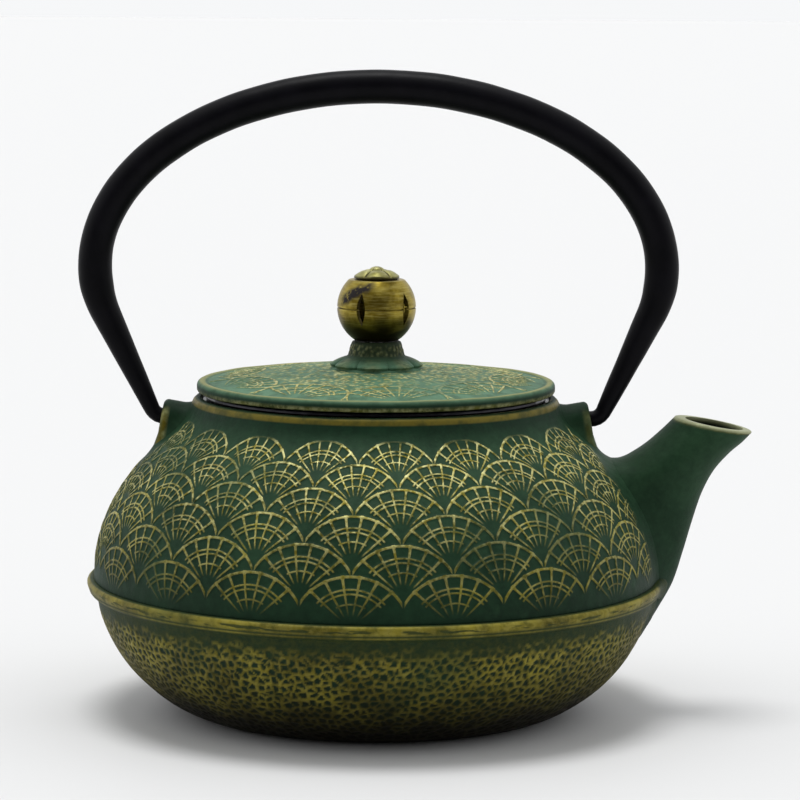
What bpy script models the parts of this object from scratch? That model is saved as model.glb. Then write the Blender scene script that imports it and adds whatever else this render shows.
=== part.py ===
"""Cast iron teapot: pot with a spout and two lugs, swinging bail, lid with a ball knob, infuser basket.

Lengths below are millimetres. The origin is the middle of the flat base, +Z is up, and the spout
points along +X. The bail turns about the line along X through both lugs.
"""
import math

import bmesh
import bpy
from mathutils import Matrix, Vector

MM = 0.001
GAP = 0.3                    # clearance between pieces that touch

# Pot wall
BASE_RADIUS = 51.6
LOWER_ARC_CENTRE = (35.3, 43.0)
LOWER_ARC_RADIUS = 46.0
BELLY_RADIUS = 81.0
BELLY_Z = 38.0
UPPER_HEIGHT = 60.8          # half height of the ellipse that shapes the upper wall
SHOULDER_Z = 77.5
MOUTH_RADIUS = 52.4
MOUTH_TOP_Z = 90.6
WALL = 3.2
FLOOR_Z = 3.6
BORE_RADIUS = 46.5
LEDGE_RADIUS = 49.7
LEDGE_Z = 89.8
FLANGE_RADIUS = 83.0
FLANGE_LOW_Z = 34.4
FLANGE_TOP_Z = 38.6
POT_SEGMENTS = 56

# Lugs and the bail's pivot
PIVOT_Z = 84.4
LUG_FACE_X = 61.7
LUG_FACE_SLANT = 0.174       # how much further out the face is, per mm further down
LUG_HALF_WIDTH = 5.6
LUG_INNER_X = 46.0
LUG_FOOT_Z = 70.0
PIN_HOLE_RADIUS = 2.75
PIN_HOLE_END_X = 54.6

# Bail
BAIL_HALF_SPAN = 81.2
BAIL_WIDE_Z = 127.6
BAIL_TOP_Z = 179.35
BAIL_TUBE_RADIUS = 4.85
BAIL_TIP_RADIUS = 2.25
BAIL_TUBE_WALL = 1.3
BAIL_SIDE_ARC = 31.0
BAIL_SLANT = math.radians(25.5)
BAIL_BEND = 4.0
BAIL_TIP_X = 55.6
BAIL_TAPER_TOP_Z = 122.0

# Lid
LID_RADIUS = 51.4
LID_LOW_Z = 92.1
LID_RIM_Z = 95.2
LID_DOME_Z = 98.9
LID_DOME_EDGE = (48.4, 94.9)
LID_SKIRT_RADIUS = 42.2
LID_SKIRT_LOW_Z = 85.3
LID_SKIRT_WALL = 1.8
LID_WALL = 2.8
BOSS_RADIUS = 13.4
BOSS_EDGE_Z = 99.9
BOSS_TOP_Z = 102.1
COLLAR_LOW_RADIUS = 8.0
COLLAR_TOP_RADIUS = 7.1
COLLAR_TOP_Z = 106.6
STUD_HOLE_RADIUS = 2.3
PETALS = 8
PETAL_DEPTH = 0.6

# Knob
BALL_RADIUS = 11.3
BALL_Z = 116.3
BALL_WALL = 1.5
BALL_CUT_Z = 124.3
SLOT_COUNT = 5
SLOT_HALF_HEIGHT = 4.7
SLOT_HALF_WIDTH = 1.1
SLOT_FIRST_ANGLE = math.radians(-113.2)
CAP_RADIUS = 6.4
CAP_NECK_RADIUS = 6.6
CAP_NECK_HEIGHT = 0.7
CAP_HEIGHT = 3.0
CAP_PETALS = 5
STUD_RADIUS = 2.0
STUD_LOW_Z = 89.4
WASHER_RADIUS = 5.0
WASHER_HEIGHT = 0.9
NUT_RADIUS = 4.0
NUT_HEIGHT = 2.8

# Infuser basket
RIM_BEAD_RADIUS = 48.3
RIM_BEAD_SIZE = 0.8
RIM_PLATE = 0.6
SLEEVE_RADIUS = 44.3
SLEEVE_LOW_Z = 85.6
BASKET_RADIUS = 43.4
BASKET_WALL = 0.6
BASKET_LOW_Z = 54.8
BOTTOM_THICKNESS = 0.5
RING_RADIUS = 44.2
RING_WALL = 0.5
RING_HEIGHT = 3.6
RING_LIP = 3.6

# Spout sections: upper edge point, lower edge point (x, z), and half width along Y
SPOUT_SECTIONS = [
    ((72.0, 26.0), (76.0, 23.6), 4.0),
    ((68.0, 31.0), (81.6, 30.4), 8.0),
    ((62.0, 39.0), (86.0, 37.0), 9.6),
    ((60.0, 49.5), (88.9, 46.0), 10.2),
    ((60.0, 60.0), (91.3, 54.5), 10.8),
    ((63.5, 69.5), (94.0, 63.0), 11.4),
    ((70.4, 72.8), (97.3, 69.6), 11.4),
    ((77.0, 76.9), (101.6, 74.7), 11.0),
    ((81.8, 81.0), (105.6, 78.2), 10.7),
    ((85.9, 85.0), (108.2, 80.9), 10.6),
]
# Spout channel: centre (x, z) and the direction its section faces, from the mouth down into the pot
CHANNEL_SECTIONS = [
    ((97.9, 87.0), 80.0, 8.6, 8.4),
    ((96.9, 82.0), 80.0, 8.4, 8.2),
    ((92.2, 76.6), 62.0, 7.6, 7.6),
    ((87.0, 71.0), 50.0, 7.4, 7.4),
    ((81.0, 65.2), 38.0, 7.2, 7.2),
    ((72.0, 60.5), 25.0, 7.0, 7.0),
    ((62.0, 56.5), 20.0, 7.0, 7.0),
]
SPOUT_SIDES = 22
CHANNEL_SIDES = 16

# Facets around the turned pieces
LID_SEGMENTS = 48
KNOB_SEGMENTS = 30
BASKET_SEGMENTS = 48
BAIL_SIDES = 10


def clear_scene():
    for old in list(bpy.data.objects):
        bpy.data.objects.remove(old, do_unlink=True)


def make_material(name, colour, roughness, metallic):
    mat = bpy.data.materials.new(name)
    mat.use_nodes = True
    shader = mat.node_tree.nodes["Principled BSDF"]
    shader.inputs["Base Color"].default_value = (*colour, 1.0)
    shader.inputs["Roughness"].default_value = roughness
    shader.inputs["Metallic"].default_value = metallic
    return mat


def add_object(name, bm, mat=None, sharp_degrees=35.0):
    """Closed mesh in millimetres -> named object in metres, faces outward."""
    bmesh.ops.remove_doubles(bm, verts=bm.verts, dist=0.002)
    bmesh.ops.recalc_face_normals(bm, faces=bm.faces)
    bmesh.ops.scale(bm, vec=(MM, MM, MM), verts=bm.verts)
    mesh = bpy.data.meshes.new(name)
    bm.to_mesh(mesh)
    bm.free()
    mesh.shade_smooth()
    mesh.set_sharp_from_angle(angle=math.radians(sharp_degrees))
    obj = bpy.data.objects.new(name, mesh)
    bpy.context.scene.collection.objects.link(obj)
    if mat:
        mesh.materials.append(mat)
    return obj


def make_guide(obj):
    obj.hide_render = True
    obj.display_type = "WIRE"
    return obj


def combine(obj, other, operation):
    modifier = obj.modifiers.new(operation.title(), "BOOLEAN")
    modifier.operation = operation
    modifier.solver = "EXACT"
    modifier.object = make_guide(other)


def arc(centre, radius, start, end, steps):
    """Points of an arc in the (radius, z) plane, angles in degrees from the outward direction."""
    points = []
    for i in range(steps + 1):
        angle = math.radians(start + (end - start) * i / steps)
        points.append((centre[0] + radius * math.cos(angle), centre[1] + radius * math.sin(angle)))
    return points


def lathe(profile, segments):
    """Turn a closed outline of (radius, z) points about the Z axis."""
    bm = bmesh.new()
    verts = [bm.verts.new((r, 0.0, z)) for r, z in profile]
    edges = []
    for i, vert in enumerate(verts):
        following = verts[(i + 1) % len(verts)]
        on_axis = profile[i][0] == 0.0 and profile[(i + 1) % len(verts)][0] == 0.0
        if not on_axis:
            edges.append(bm.edges.new((vert, following)))
    bmesh.ops.spin(bm, geom=verts + edges, axis=(0, 0, 1), cent=(0, 0, 0),
                   angle=2 * math.pi, steps=segments, use_merge=True)
    return bm


def loft(rings, ends=True):
    """Skin a list of rings that have the same number of points."""
    bm = bmesh.new()
    rows = [[bm.verts.new(p) for p in ring] for ring in rings]
    for low, high in zip(rows, rows[1:]):
        for i in range(len(low)):
            j = (i + 1) % len(low)
            bm.faces.new((low[i], low[j], high[j], high[i]))
    if ends:
        bm.faces.new(rows[0])
        bm.faces.new(rows[-1])
    return bm


def lower_wall_radius(z):
    drop = z - LOWER_ARC_CENTRE[1]
    return LOWER_ARC_CENTRE[0] + math.sqrt(LOWER_ARC_RADIUS ** 2 - drop ** 2)


def upper_wall_radius(z):
    return BELLY_RADIUS * math.sqrt(1.0 - ((z - BELLY_Z) / UPPER_HEIGHT) ** 2)


def spread(start, end, steps):
    return [start + (end - start) * i / steps for i in range(steps + 1)]


def neck_curve(inset, steps):
    """Hollow curve from the shoulder up to the mouth, as a quadratic through one corner point."""
    start = Vector((upper_wall_radius(SHOULDER_Z) - inset, SHOULDER_Z))
    corner = Vector((MOUTH_RADIUS + 0.6 - inset, 83.6))
    end = Vector((MOUTH_RADIUS - inset, MOUTH_TOP_Z - 1.6))
    points = []
    for t in spread(0.0, 1.0, steps):
        point = start * (1 - t) ** 2 + corner * 2 * t * (1 - t) + end * t ** 2
        points.append((point.x, point.y))
    return points


def pot_outline():
    outline = [(0.0, 0.0), (BASE_RADIUS - 1.5, 0.0)]
    outline += [(lower_wall_radius(z), z) for z in (0.9, 4.0, 8.0, 12.5, 17.5, 23.0, 28.5, FLANGE_LOW_Z - 0.8)]
    outline += [(FLANGE_RADIUS - 1.2, FLANGE_LOW_Z), (FLANGE_RADIUS - 0.2, FLANGE_LOW_Z + 0.9)]
    outline += [(FLANGE_RADIUS, FLANGE_LOW_Z + 2.4), (FLANGE_RADIUS - 0.6, FLANGE_TOP_Z - 0.6)]
    outline += [(FLANGE_RADIUS - 1.6, FLANGE_TOP_Z)]
    outline += [(upper_wall_radius(z), z) for z in (40.0, 45.5, 51.0, 56.5, 62.0, 67.0, 71.5, 75.0)]
    outline += neck_curve(0.0, 5)
    outline += [(MOUTH_RADIUS - 0.5, MOUTH_TOP_Z - 0.4), (MOUTH_RADIUS - 1.2, MOUTH_TOP_Z)]
    outline.append((0.0, MOUTH_TOP_Z))
    return outline


def cavity_outline():
    outline = [(0.0, FLOOR_Z), (46.0, FLOOR_Z), (54.0, 5.0)]
    outline += [(lower_wall_radius(z) - WALL, z) for z in (8.5, 14.0, 21.0, 29.0)]
    outline += [(upper_wall_radius(z) - WALL, z) for z in (38.0, 47.0, 56.0, 64.0, 71.0)]
    outline += [(upper_wall_radius(SHOULDER_Z) - WALL - 1.5, SHOULDER_Z - 1.0)]
    outline += [(BORE_RADIUS + 1.5, 82.5), (BORE_RADIUS, 85.5), (BORE_RADIUS, LEDGE_Z)]
    outline += [(LEDGE_RADIUS, LEDGE_Z), (LEDGE_RADIUS, MOUTH_TOP_Z + 6.0), (0.0, MOUTH_TOP_Z + 6.0)]
    return outline


def section_ring(centre, half_length, half_width, direction, sides):
    """Ellipse whose long axis lies in the XZ plane along direction, and whose short axis is Y."""
    ring = []
    for i in range(sides):
        angle = 2 * math.pi * i / sides
        along = half_length * math.cos(angle)
        ring.append((centre[0] + along * direction[0], half_width * math.sin(angle),
                     centre[1] + along * direction[1]))
    return ring


def spout_solid():
    rings = []
    for upper, lower, half_width in SPOUT_SECTIONS:
        span = Vector(lower) - Vector(upper)
        centre = (Vector(upper) + Vector(lower)) / 2
        rings.append(section_ring(centre, span.length / 2, half_width, span.normalized(), SPOUT_SIDES))
    return add_object("spout_form", loft(rings))


def spout_channel():
    rings = []
    for centre, facing, half_length, half_width in CHANNEL_SECTIONS:
        angle = math.radians(facing - 90.0)
        direction = (math.cos(angle), math.sin(angle))
        rings.append(section_ring(centre, half_length, half_width, direction, CHANNEL_SIDES))
    return add_object("channel_form", loft(rings))


def lug_solid(name, side):
    """Block with an arched top and a flat end face that leans out towards its foot."""
    outline = [(math.cos(math.radians(a)) * LUG_HALF_WIDTH, PIVOT_Z + math.sin(math.radians(a)) * LUG_HALF_WIDTH)
               for a in range(0, 181, 15)]
    outline += [(-LUG_HALF_WIDTH, LUG_FOOT_Z), (LUG_HALF_WIDTH, LUG_FOOT_Z)]
    inner = [(side * LUG_INNER_X, y, z) for y, z in outline]
    outer = [(side * (LUG_FACE_X + (PIVOT_Z - z) * LUG_FACE_SLANT), y, z) for y, z in outline]
    lug = add_object(name, loft([inner, outer]))
    bevel = lug.modifiers.new("Bevel", "BEVEL")
    bevel.width = 0.9 * MM
    bevel.segments = 2
    bevel.limit_method = "ANGLE"
    bevel.angle_limit = math.radians(50.0)
    return lug


def pin_hole(name, side):
    outline = [(math.cos(2 * math.pi * i / 16) * PIN_HOLE_RADIUS,
                PIVOT_Z + math.sin(2 * math.pi * i / 16) * PIN_HOLE_RADIUS) for i in range(16)]
    ends = (PIN_HOLE_END_X, LUG_FACE_X + 8.0)
    rings = [[(side * x, y, z) for y, z in outline] for x in ends]
    return add_object(name, loft(rings))


def build_pot(iron):
    pot = add_object("pot_body", lathe(pot_outline(), POT_SEGMENTS), iron)
    combine(pot, spout_solid(), "UNION")
    for side, label in ((1, "front"), (-1, "back")):
        combine(pot, lug_solid("lug_form_" + label, side), "UNION")
    combine(pot, add_object("cavity_form", lathe(cavity_outline(), POT_SEGMENTS)), "DIFFERENCE")
    combine(pot, spout_channel(), "DIFFERENCE")
    for side, label in ((1, "front"), (-1, "back")):
        combine(pot, pin_hole("pin_hole_form_" + label, side), "DIFFERENCE")
    return pot


def bail_half_path():
    """Centre line of one arm in (x, z), from its tip in the lug to the top of the arch."""
    corner_x = BAIL_HALF_SPAN - BAIL_SIDE_ARC * (1 - math.cos(BAIL_SLANT))
    corner_z = BAIL_WIDE_Z - BAIL_SIDE_ARC * math.sin(BAIL_SLANT)
    corner_x -= (corner_z - PIVOT_Z) * math.tan(BAIL_SLANT)
    reach = BAIL_BEND * math.tan((math.pi / 2 - BAIL_SLANT) / 2)
    bend_centre = (corner_x - reach, PIVOT_Z + BAIL_BEND)
    points = [(BAIL_TIP_X, PIVOT_Z)]
    points += arc(bend_centre, BAIL_BEND, -90.0, -math.degrees(BAIL_SLANT), 5)
    side_centre = (BAIL_HALF_SPAN - BAIL_SIDE_ARC, BAIL_WIDE_Z)
    side = arc(side_centre, BAIL_SIDE_ARC, -math.degrees(BAIL_SLANT), 0.0, 4)
    start = Vector(points[-1])
    for t in (0.33, 0.66):
        point = start.lerp(Vector(side[0]), t)
        points.append((point.x, point.y))
    points += side
    for angle in spread(6.0, 90.0, 14):
        turn = math.radians(angle)
        points.append((BAIL_HALF_SPAN * math.cos(turn),
                       BAIL_WIDE_Z + (BAIL_TOP_Z - BAIL_WIDE_Z) * math.sin(turn)))
    return points


def bail_radius(x, z):
    share = (z - PIVOT_Z - 1.6) / (BAIL_TAPER_TOP_Z - PIVOT_Z - 1.6)
    share = min(1.0, max(0.0, share))
    return BAIL_TIP_RADIUS + (BAIL_TUBE_RADIUS - BAIL_TIP_RADIUS) * share


def tube_rings(path, shrink):
    rings = []
    for i, (x, z) in enumerate(path):
        before = Vector(path[max(i - 1, 0)])
        after = Vector(path[min(i + 1, len(path) - 1)])
        ahead = (after - before).normalized()
        if i in (0, len(path) - 1):
            ahead = Vector((1.0 if ahead.x > 0 else -1.0, 0.0))
        radius = max(bail_radius(x, z) - shrink, 0.9) if shrink else bail_radius(x, z)
        rings.append(section_ring((x, z), radius, radius, (-ahead.y, ahead.x), BAIL_SIDES))
    return rings


def build_bail(steel):
    half = bail_half_path()
    path = half + [(-x, z) for x, z in reversed(half[:-1])]
    outside = tube_rings(path, 0.0)
    inside = tube_rings(path, BAIL_TUBE_WALL)
    rings = outside + inside[::-1]
    rings.append(outside[0])
    bail = add_object("bail_handle", loft(rings, ends=False), steel, 60.0)
    bail.data.transform(pivot_shift(-1))
    bail.location = (0.0, 0.0, PIVOT_Z * MM)
    return bail


def pivot_shift(sign):
    return Matrix.Translation((0.0, 0.0, sign * PIVOT_Z * MM))


def dome_z(radius):
    """Height of the lid's shallow dome at a radius."""
    rise = LID_DOME_Z - LID_DOME_EDGE[1]
    sphere = (LID_DOME_EDGE[0] ** 2 + rise ** 2) / (2 * rise)
    return LID_DOME_Z - sphere + math.sqrt(sphere ** 2 - radius ** 2)


def build_lid(iron):
    outline = [(STUD_HOLE_RADIUS, COLLAR_TOP_Z), (COLLAR_TOP_RADIUS - 0.5, COLLAR_TOP_Z)]
    outline += [(COLLAR_TOP_RADIUS, COLLAR_TOP_Z - 0.5), (COLLAR_LOW_RADIUS, BOSS_TOP_Z)]
    outline += [(BOSS_RADIUS - 2.0, BOSS_EDGE_Z + 0.9), (BOSS_RADIUS, BOSS_EDGE_Z)]
    outline += [(BOSS_RADIUS - 0.6, dome_z(BOSS_RADIUS))]
    outline += [(r, dome_z(r)) for r in (20.0, 27.0, 34.0, 41.0)]
    outline += [LID_DOME_EDGE, (49.2, LID_RIM_Z - 0.1), (50.2, LID_RIM_Z), (LID_RADIUS - 0.3, LID_RIM_Z - 0.6)]
    outline += [(LID_RADIUS, LID_RIM_Z - 1.4), (LID_RADIUS - 0.2, LID_LOW_Z + 0.7), (LID_RADIUS - 1.0, LID_LOW_Z)]
    outline += [(LID_SKIRT_RADIUS + 0.9, LID_LOW_Z), (LID_SKIRT_RADIUS, LID_LOW_Z - 0.6)]
    outline += [(LID_SKIRT_RADIUS - 0.3, LID_SKIRT_LOW_Z), (LID_SKIRT_RADIUS - LID_SKIRT_WALL, LID_SKIRT_LOW_Z)]
    outline += [(LID_SKIRT_RADIUS - LID_SKIRT_WALL - 0.6, LID_LOW_Z - 0.3), (36.0, dome_z(36.0) - LID_WALL)]
    outline += [(r, dome_z(r) - LID_WALL) for r in (24.0, 12.0)]
    outline += [(7.0, LID_DOME_Z - LID_WALL - 0.4), (STUD_HOLE_RADIUS, LID_DOME_Z - LID_WALL - 0.4)]
    bm = lathe(outline, LID_SEGMENTS)
    for vert in bm.verts:
        radius = math.hypot(vert.co.x, vert.co.y)
        on_edge = abs(radius - BOSS_RADIUS) < 0.01 or abs(radius - BOSS_RADIUS + 0.6) < 0.01
        if on_edge and vert.co.z > LID_DOME_Z - 1.0:
            wave = abs(math.sin(PETALS / 2 * math.atan2(vert.co.y, vert.co.x)))
            trim = 1.0 - PETAL_DEPTH * (1.0 - wave) / radius
            vert.co.x *= trim
            vert.co.y *= trim
    return add_object("lid", bm, iron)


def ball_radius_at(z, radius):
    return math.sqrt(max(radius ** 2 - (z - BALL_Z) ** 2, 0.0))


def half_shell(name, low_z, high_z, opening_at_top, mat):
    """Half of the hollow ball, closed by a flat end with a hole for the stud."""
    inner = BALL_RADIUS - BALL_WALL
    heights = spread(low_z, high_z, 5)
    outside = [(ball_radius_at(z, BALL_RADIUS), z) for z in heights]
    if opening_at_top:
        inside = [(ball_radius_at(z, inner), z) for z in spread(high_z, low_z + BALL_WALL, 4)]
        closing = [(STUD_HOLE_RADIUS, low_z + BALL_WALL), (STUD_HOLE_RADIUS, low_z)]
    else:
        outside = outside[::-1]
        inside = [(ball_radius_at(z, inner), z) for z in spread(low_z, high_z - BALL_WALL, 4)]
        closing = [(STUD_HOLE_RADIUS, high_z - BALL_WALL), (STUD_HOLE_RADIUS, high_z)]
    return add_object(name, lathe(outside + inside + closing, KNOB_SEGMENTS), mat)


def slot_cutter(index):
    """Upright lens-shaped prism that cuts one slot through the ball's wall."""
    angle = SLOT_FIRST_ANGLE + index * 2 * math.pi / SLOT_COUNT
    across = Vector((-math.sin(angle), math.cos(angle), 0.0))
    outward = Vector((math.cos(angle), math.sin(angle), 0.0))
    heights = spread(-1.0, 1.0, 4)
    right = [(SLOT_HALF_WIDTH * (1 - t * t), SLOT_HALF_HEIGHT * t) for t in heights]
    left = [(-w, h) for w, h in reversed(right[1:-1])]
    rings = []
    for reach in (BALL_RADIUS - 3.4, BALL_RADIUS + 2.0):
        rings.append([outward * reach + across * w + Vector((0, 0, BALL_Z + h)) for w, h in right + left])
    return add_object("slot_form_%d" % (index + 1), loft(rings))


def build_knob(gold, steel):
    seam = GAP / 2
    lower = half_shell("knob_lower_half", COLLAR_TOP_Z + GAP, BALL_Z - seam, True, gold)
    upper = half_shell("knob_upper_half", BALL_Z + seam, BALL_CUT_Z, False, gold)
    for index in range(SLOT_COUNT):
        cutter = slot_cutter(index)
        combine(lower, cutter, "DIFFERENCE")
        combine(upper, cutter, "DIFFERENCE")
    build_cap(gold)
    stud_top = BALL_CUT_Z + GAP + 1.6
    stud = [(0.0, STUD_LOW_Z), (STUD_RADIUS - 0.4, STUD_LOW_Z), (STUD_RADIUS, STUD_LOW_Z + 0.4)]
    stud += [(STUD_RADIUS, stud_top - 0.3), (STUD_RADIUS - 0.3, stud_top), (0.0, stud_top)]
    add_object("knob_stud", lathe(stud, 20), steel)
    seat_z = LID_DOME_Z - LID_WALL - 0.4 - GAP
    washer = [(STUD_HOLE_RADIUS, seat_z - WASHER_HEIGHT), (WASHER_RADIUS, seat_z - WASHER_HEIGHT)]
    washer += [(WASHER_RADIUS, seat_z), (STUD_HOLE_RADIUS, seat_z)]
    add_object("knob_washer", lathe(washer, 28), steel)
    build_nut(seat_z - WASHER_HEIGHT - GAP, steel)


def build_cap(gold):
    """Small flower rosette on top of the ball."""
    base = BALL_CUT_Z + GAP
    hole_top = base + 1.6 + GAP
    shelf = base + CAP_NECK_HEIGHT
    outline = [(STUD_HOLE_RADIUS, base), (CAP_NECK_RADIUS - 0.2, base), (CAP_NECK_RADIUS, base + 0.3)]
    outline += [(CAP_NECK_RADIUS - 0.3, shelf), (CAP_RADIUS - 0.1, shelf + 0.1)]
    outline += [(CAP_RADIUS - 0.9, shelf + 0.9), (CAP_RADIUS * 0.62, shelf + 1.6)]
    outline += [(CAP_RADIUS * 0.4, shelf + 2.1), (CAP_RADIUS * 0.2, base + CAP_HEIGHT + 0.6)]
    outline += [(0.0, base + CAP_HEIGHT + 0.8), (0.0, hole_top), (STUD_HOLE_RADIUS, hole_top)]
    bm = lathe(outline, KNOB_SEGMENTS)
    for vert in bm.verts:
        radius = math.hypot(vert.co.x, vert.co.y)
        if radius > CAP_RADIUS * 0.5 and vert.co.z > shelf + 0.05:
            wave = abs(math.cos(CAP_PETALS / 2 * math.atan2(vert.co.y, vert.co.x)))
            trim = 1.0 - 0.07 * (1.0 - wave)
            vert.co.x *= trim
            vert.co.y *= trim
    add_object("knob_cap", bm, gold)


def build_nut(top_z, steel):
    hexagon = [(NUT_RADIUS * math.cos(math.pi / 3 * i), NUT_RADIUS * math.sin(math.pi / 3 * i)) for i in range(6)]
    nut = add_object("knob_nut", loft([[(x, y, z) for x, y in hexagon] for z in (top_z - NUT_HEIGHT, top_z)]), steel)
    hole = [(0.0, top_z - NUT_HEIGHT - 1.0), (STUD_HOLE_RADIUS, top_z - NUT_HEIGHT - 1.0)]
    hole += [(STUD_HOLE_RADIUS, top_z + 1.0), (0.0, top_z + 1.0)]
    combine(nut, add_object("nut_hole_form", lathe(hole, 20)), "DIFFERENCE")


def build_infuser(steel):
    seat_z = LEDGE_Z + GAP
    bead_centre = (RIM_BEAD_RADIUS, seat_z + RIM_BEAD_SIZE)
    rim = arc(bead_centre, RIM_BEAD_SIZE, -90.0, 165.0, 6)
    rim += [(SLEEVE_RADIUS + 0.5, seat_z + RIM_PLATE), (SLEEVE_RADIUS - RIM_PLATE, seat_z + RIM_PLATE - 0.1)]
    rim += [(SLEEVE_RADIUS - RIM_PLATE + 0.05, SLEEVE_LOW_Z), (SLEEVE_RADIUS, SLEEVE_LOW_Z)]
    rim += [(SLEEVE_RADIUS + 0.1, seat_z - 0.4), (SLEEVE_RADIUS + 0.7, seat_z)]
    add_object("infuser_rim", lathe(rim, BASKET_SEGMENTS), steel)
    wall_top = seat_z - 0.4
    wall = [(BASKET_RADIUS - BASKET_WALL, BASKET_LOW_Z), (BASKET_RADIUS, BASKET_LOW_Z)]
    wall += [(BASKET_RADIUS, wall_top), (BASKET_RADIUS - BASKET_WALL, wall_top)]
    add_object("infuser_wall", lathe(wall, BASKET_SEGMENTS), steel)
    disc_top = BASKET_LOW_Z - GAP
    disc = [(0.0, disc_top - BOTTOM_THICKNESS), (BASKET_RADIUS, disc_top - BOTTOM_THICKNESS)]
    disc += [(BASKET_RADIUS, disc_top), (0.0, disc_top)]
    add_object("infuser_bottom", lathe(disc, BASKET_SEGMENTS), steel)
    lip_top = disc_top - BOTTOM_THICKNESS - GAP
    low = lip_top - RING_WALL
    ring = [(RING_RADIUS - RING_LIP, low), (RING_RADIUS - 0.4, low), (RING_RADIUS, low + 0.4)]
    ring += [(RING_RADIUS, low + RING_HEIGHT), (RING_RADIUS - RING_WALL, low + RING_HEIGHT)]
    ring += [(RING_RADIUS - RING_WALL, lip_top), (RING_RADIUS - RING_LIP, lip_top)]
    add_object("infuser_bottom_ring", lathe(ring, BASKET_SEGMENTS), steel)


def build():
    clear_scene()
    iron = make_material("green_iron", (0.030, 0.075, 0.048), 0.55, 0.1)
    lid_iron = make_material("green_lid_iron", (0.060, 0.120, 0.075), 0.55, 0.1)
    black = make_material("black_steel", (0.012, 0.011, 0.014), 0.5, 0.2)
    gold = make_material("aged_gold", (0.36, 0.27, 0.07), 0.42, 0.8)
    steel = make_material("stainless_steel", (0.55, 0.55, 0.54), 0.32, 1.0)
    build_pot(iron)
    build_bail(black)
    build_lid(lid_iron)
    build_knob(gold, steel)
    build_infuser(steel)


build()
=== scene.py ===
import math
from functools import reduce

import bmesh
import bpy
import numpy as np
from mathutils import Matrix, Vector
from mathutils.bvhtree import BVHTree
from mathutils.kdtree import KDTree


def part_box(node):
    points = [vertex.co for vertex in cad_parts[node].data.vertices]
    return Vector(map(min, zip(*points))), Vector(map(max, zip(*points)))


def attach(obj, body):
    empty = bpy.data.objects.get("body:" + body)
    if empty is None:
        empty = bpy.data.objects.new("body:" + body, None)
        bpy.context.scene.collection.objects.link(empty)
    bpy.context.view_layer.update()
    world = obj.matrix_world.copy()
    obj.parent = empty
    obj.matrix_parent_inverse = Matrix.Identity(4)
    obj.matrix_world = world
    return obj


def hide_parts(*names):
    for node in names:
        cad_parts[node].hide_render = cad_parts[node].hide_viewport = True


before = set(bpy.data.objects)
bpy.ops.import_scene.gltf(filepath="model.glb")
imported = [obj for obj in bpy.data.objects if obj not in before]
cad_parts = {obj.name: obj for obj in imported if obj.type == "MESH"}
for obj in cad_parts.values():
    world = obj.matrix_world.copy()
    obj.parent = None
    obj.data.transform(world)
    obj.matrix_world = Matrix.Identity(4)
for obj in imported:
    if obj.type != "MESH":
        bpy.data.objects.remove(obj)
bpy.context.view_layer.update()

# Lengths are millimetres until a mesh is made; the pot's axis is Z and the spout points along +X.
MM = 0.001

# ---- driving sizes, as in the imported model
LOWER_ARC_CENTRE = (35.3, 43.0)
LOWER_ARC_RADIUS = 46.0
BASE_RADIUS = 51.6
BELLY_RADIUS = 81.0
BELLY_Z = 38.0
UPPER_HEIGHT = 60.8
SHOULDER_Z = 77.5
MOUTH_RADIUS = 52.4
MOUTH_TOP_Z = 90.6
WALL = 3.2
FLOOR_Z = 3.6
BORE_RADIUS = 46.5
LEDGE_RADIUS = 49.7
LEDGE_Z = 89.8
FLANGE_RADIUS = 83.0
FLANGE_LOW_Z = 34.4
FLANGE_TOP_Z = 38.6
SPLIT_Z = 37.9               # where the two visible halves of the wall meet, inside the flange

PIVOT_Z = 84.4
LUG_FACE_X = 61.7
LUG_FACE_SLANT = 0.174
LUG_HALF_WIDTH = 5.6
LUG_INNER_X = 49.0
LUG_FOOT_Z = 71.0
LUG_ROUNDING = 1.5
LUG_TOP_SQUASH = 0.92
PIN_HOLE_RADIUS = 2.75
PIN_HOLE_END_X = 54.6

BAIL_HALF_SPAN = 81.2
BAIL_WIDE_Z = 127.6
BAIL_TOP_Z = 179.35
BAIL_TUBE_RADIUS = 4.85
BAIL_TIP_RADIUS = 2.25
BAIL_SIDE_ARC = 31.0
BAIL_SLANT = math.radians(25.5)
BAIL_BEND = 4.0
BAIL_TIP_X = 55.6
BAIL_TAPER_TOP_Z = 122.0
BAIL_PLAY = 0.5               # the bail sits this far towards the spout in its loose pin holes

LID_RADIUS = 51.4
LID_LOW_Z = 92.1
LID_RIM_Z = 95.2
LID_DOME_Z = 98.9
LID_DOME_EDGE = (48.4, 94.9)
LID_SKIRT_RADIUS = 42.2
LID_SKIRT_LOW_Z = 85.3
LID_SKIRT_WALL = 1.8
LID_WALL = 2.8
BOSS_RADIUS = 13.4
BOSS_EDGE_Z = 99.9
BOSS_TOP_Z = 102.1
COLLAR_LOW_RADIUS = 8.0
COLLAR_TOP_RADIUS = 7.1
COLLAR_TOP_Z = 106.6
STUD_HOLE_RADIUS = 2.3
PETALS = 8

BALL_RADIUS = 11.3
BALL_Z = 116.3
BALL_WALL = 1.5
BALL_CUT_Z = 124.3
SEAM = 0.15
SLOT_COUNT = 5
SLOT_HALF_HEIGHT = 4.7
SLOT_HALF_WIDTH = 1.1
SLOT_FIRST_ANGLE = math.radians(-113.2)
CAP_RADIUS = 6.4
CAP_NECK_RADIUS = 6.6
CAP_PETALS = 5
GAP = 0.3

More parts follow.
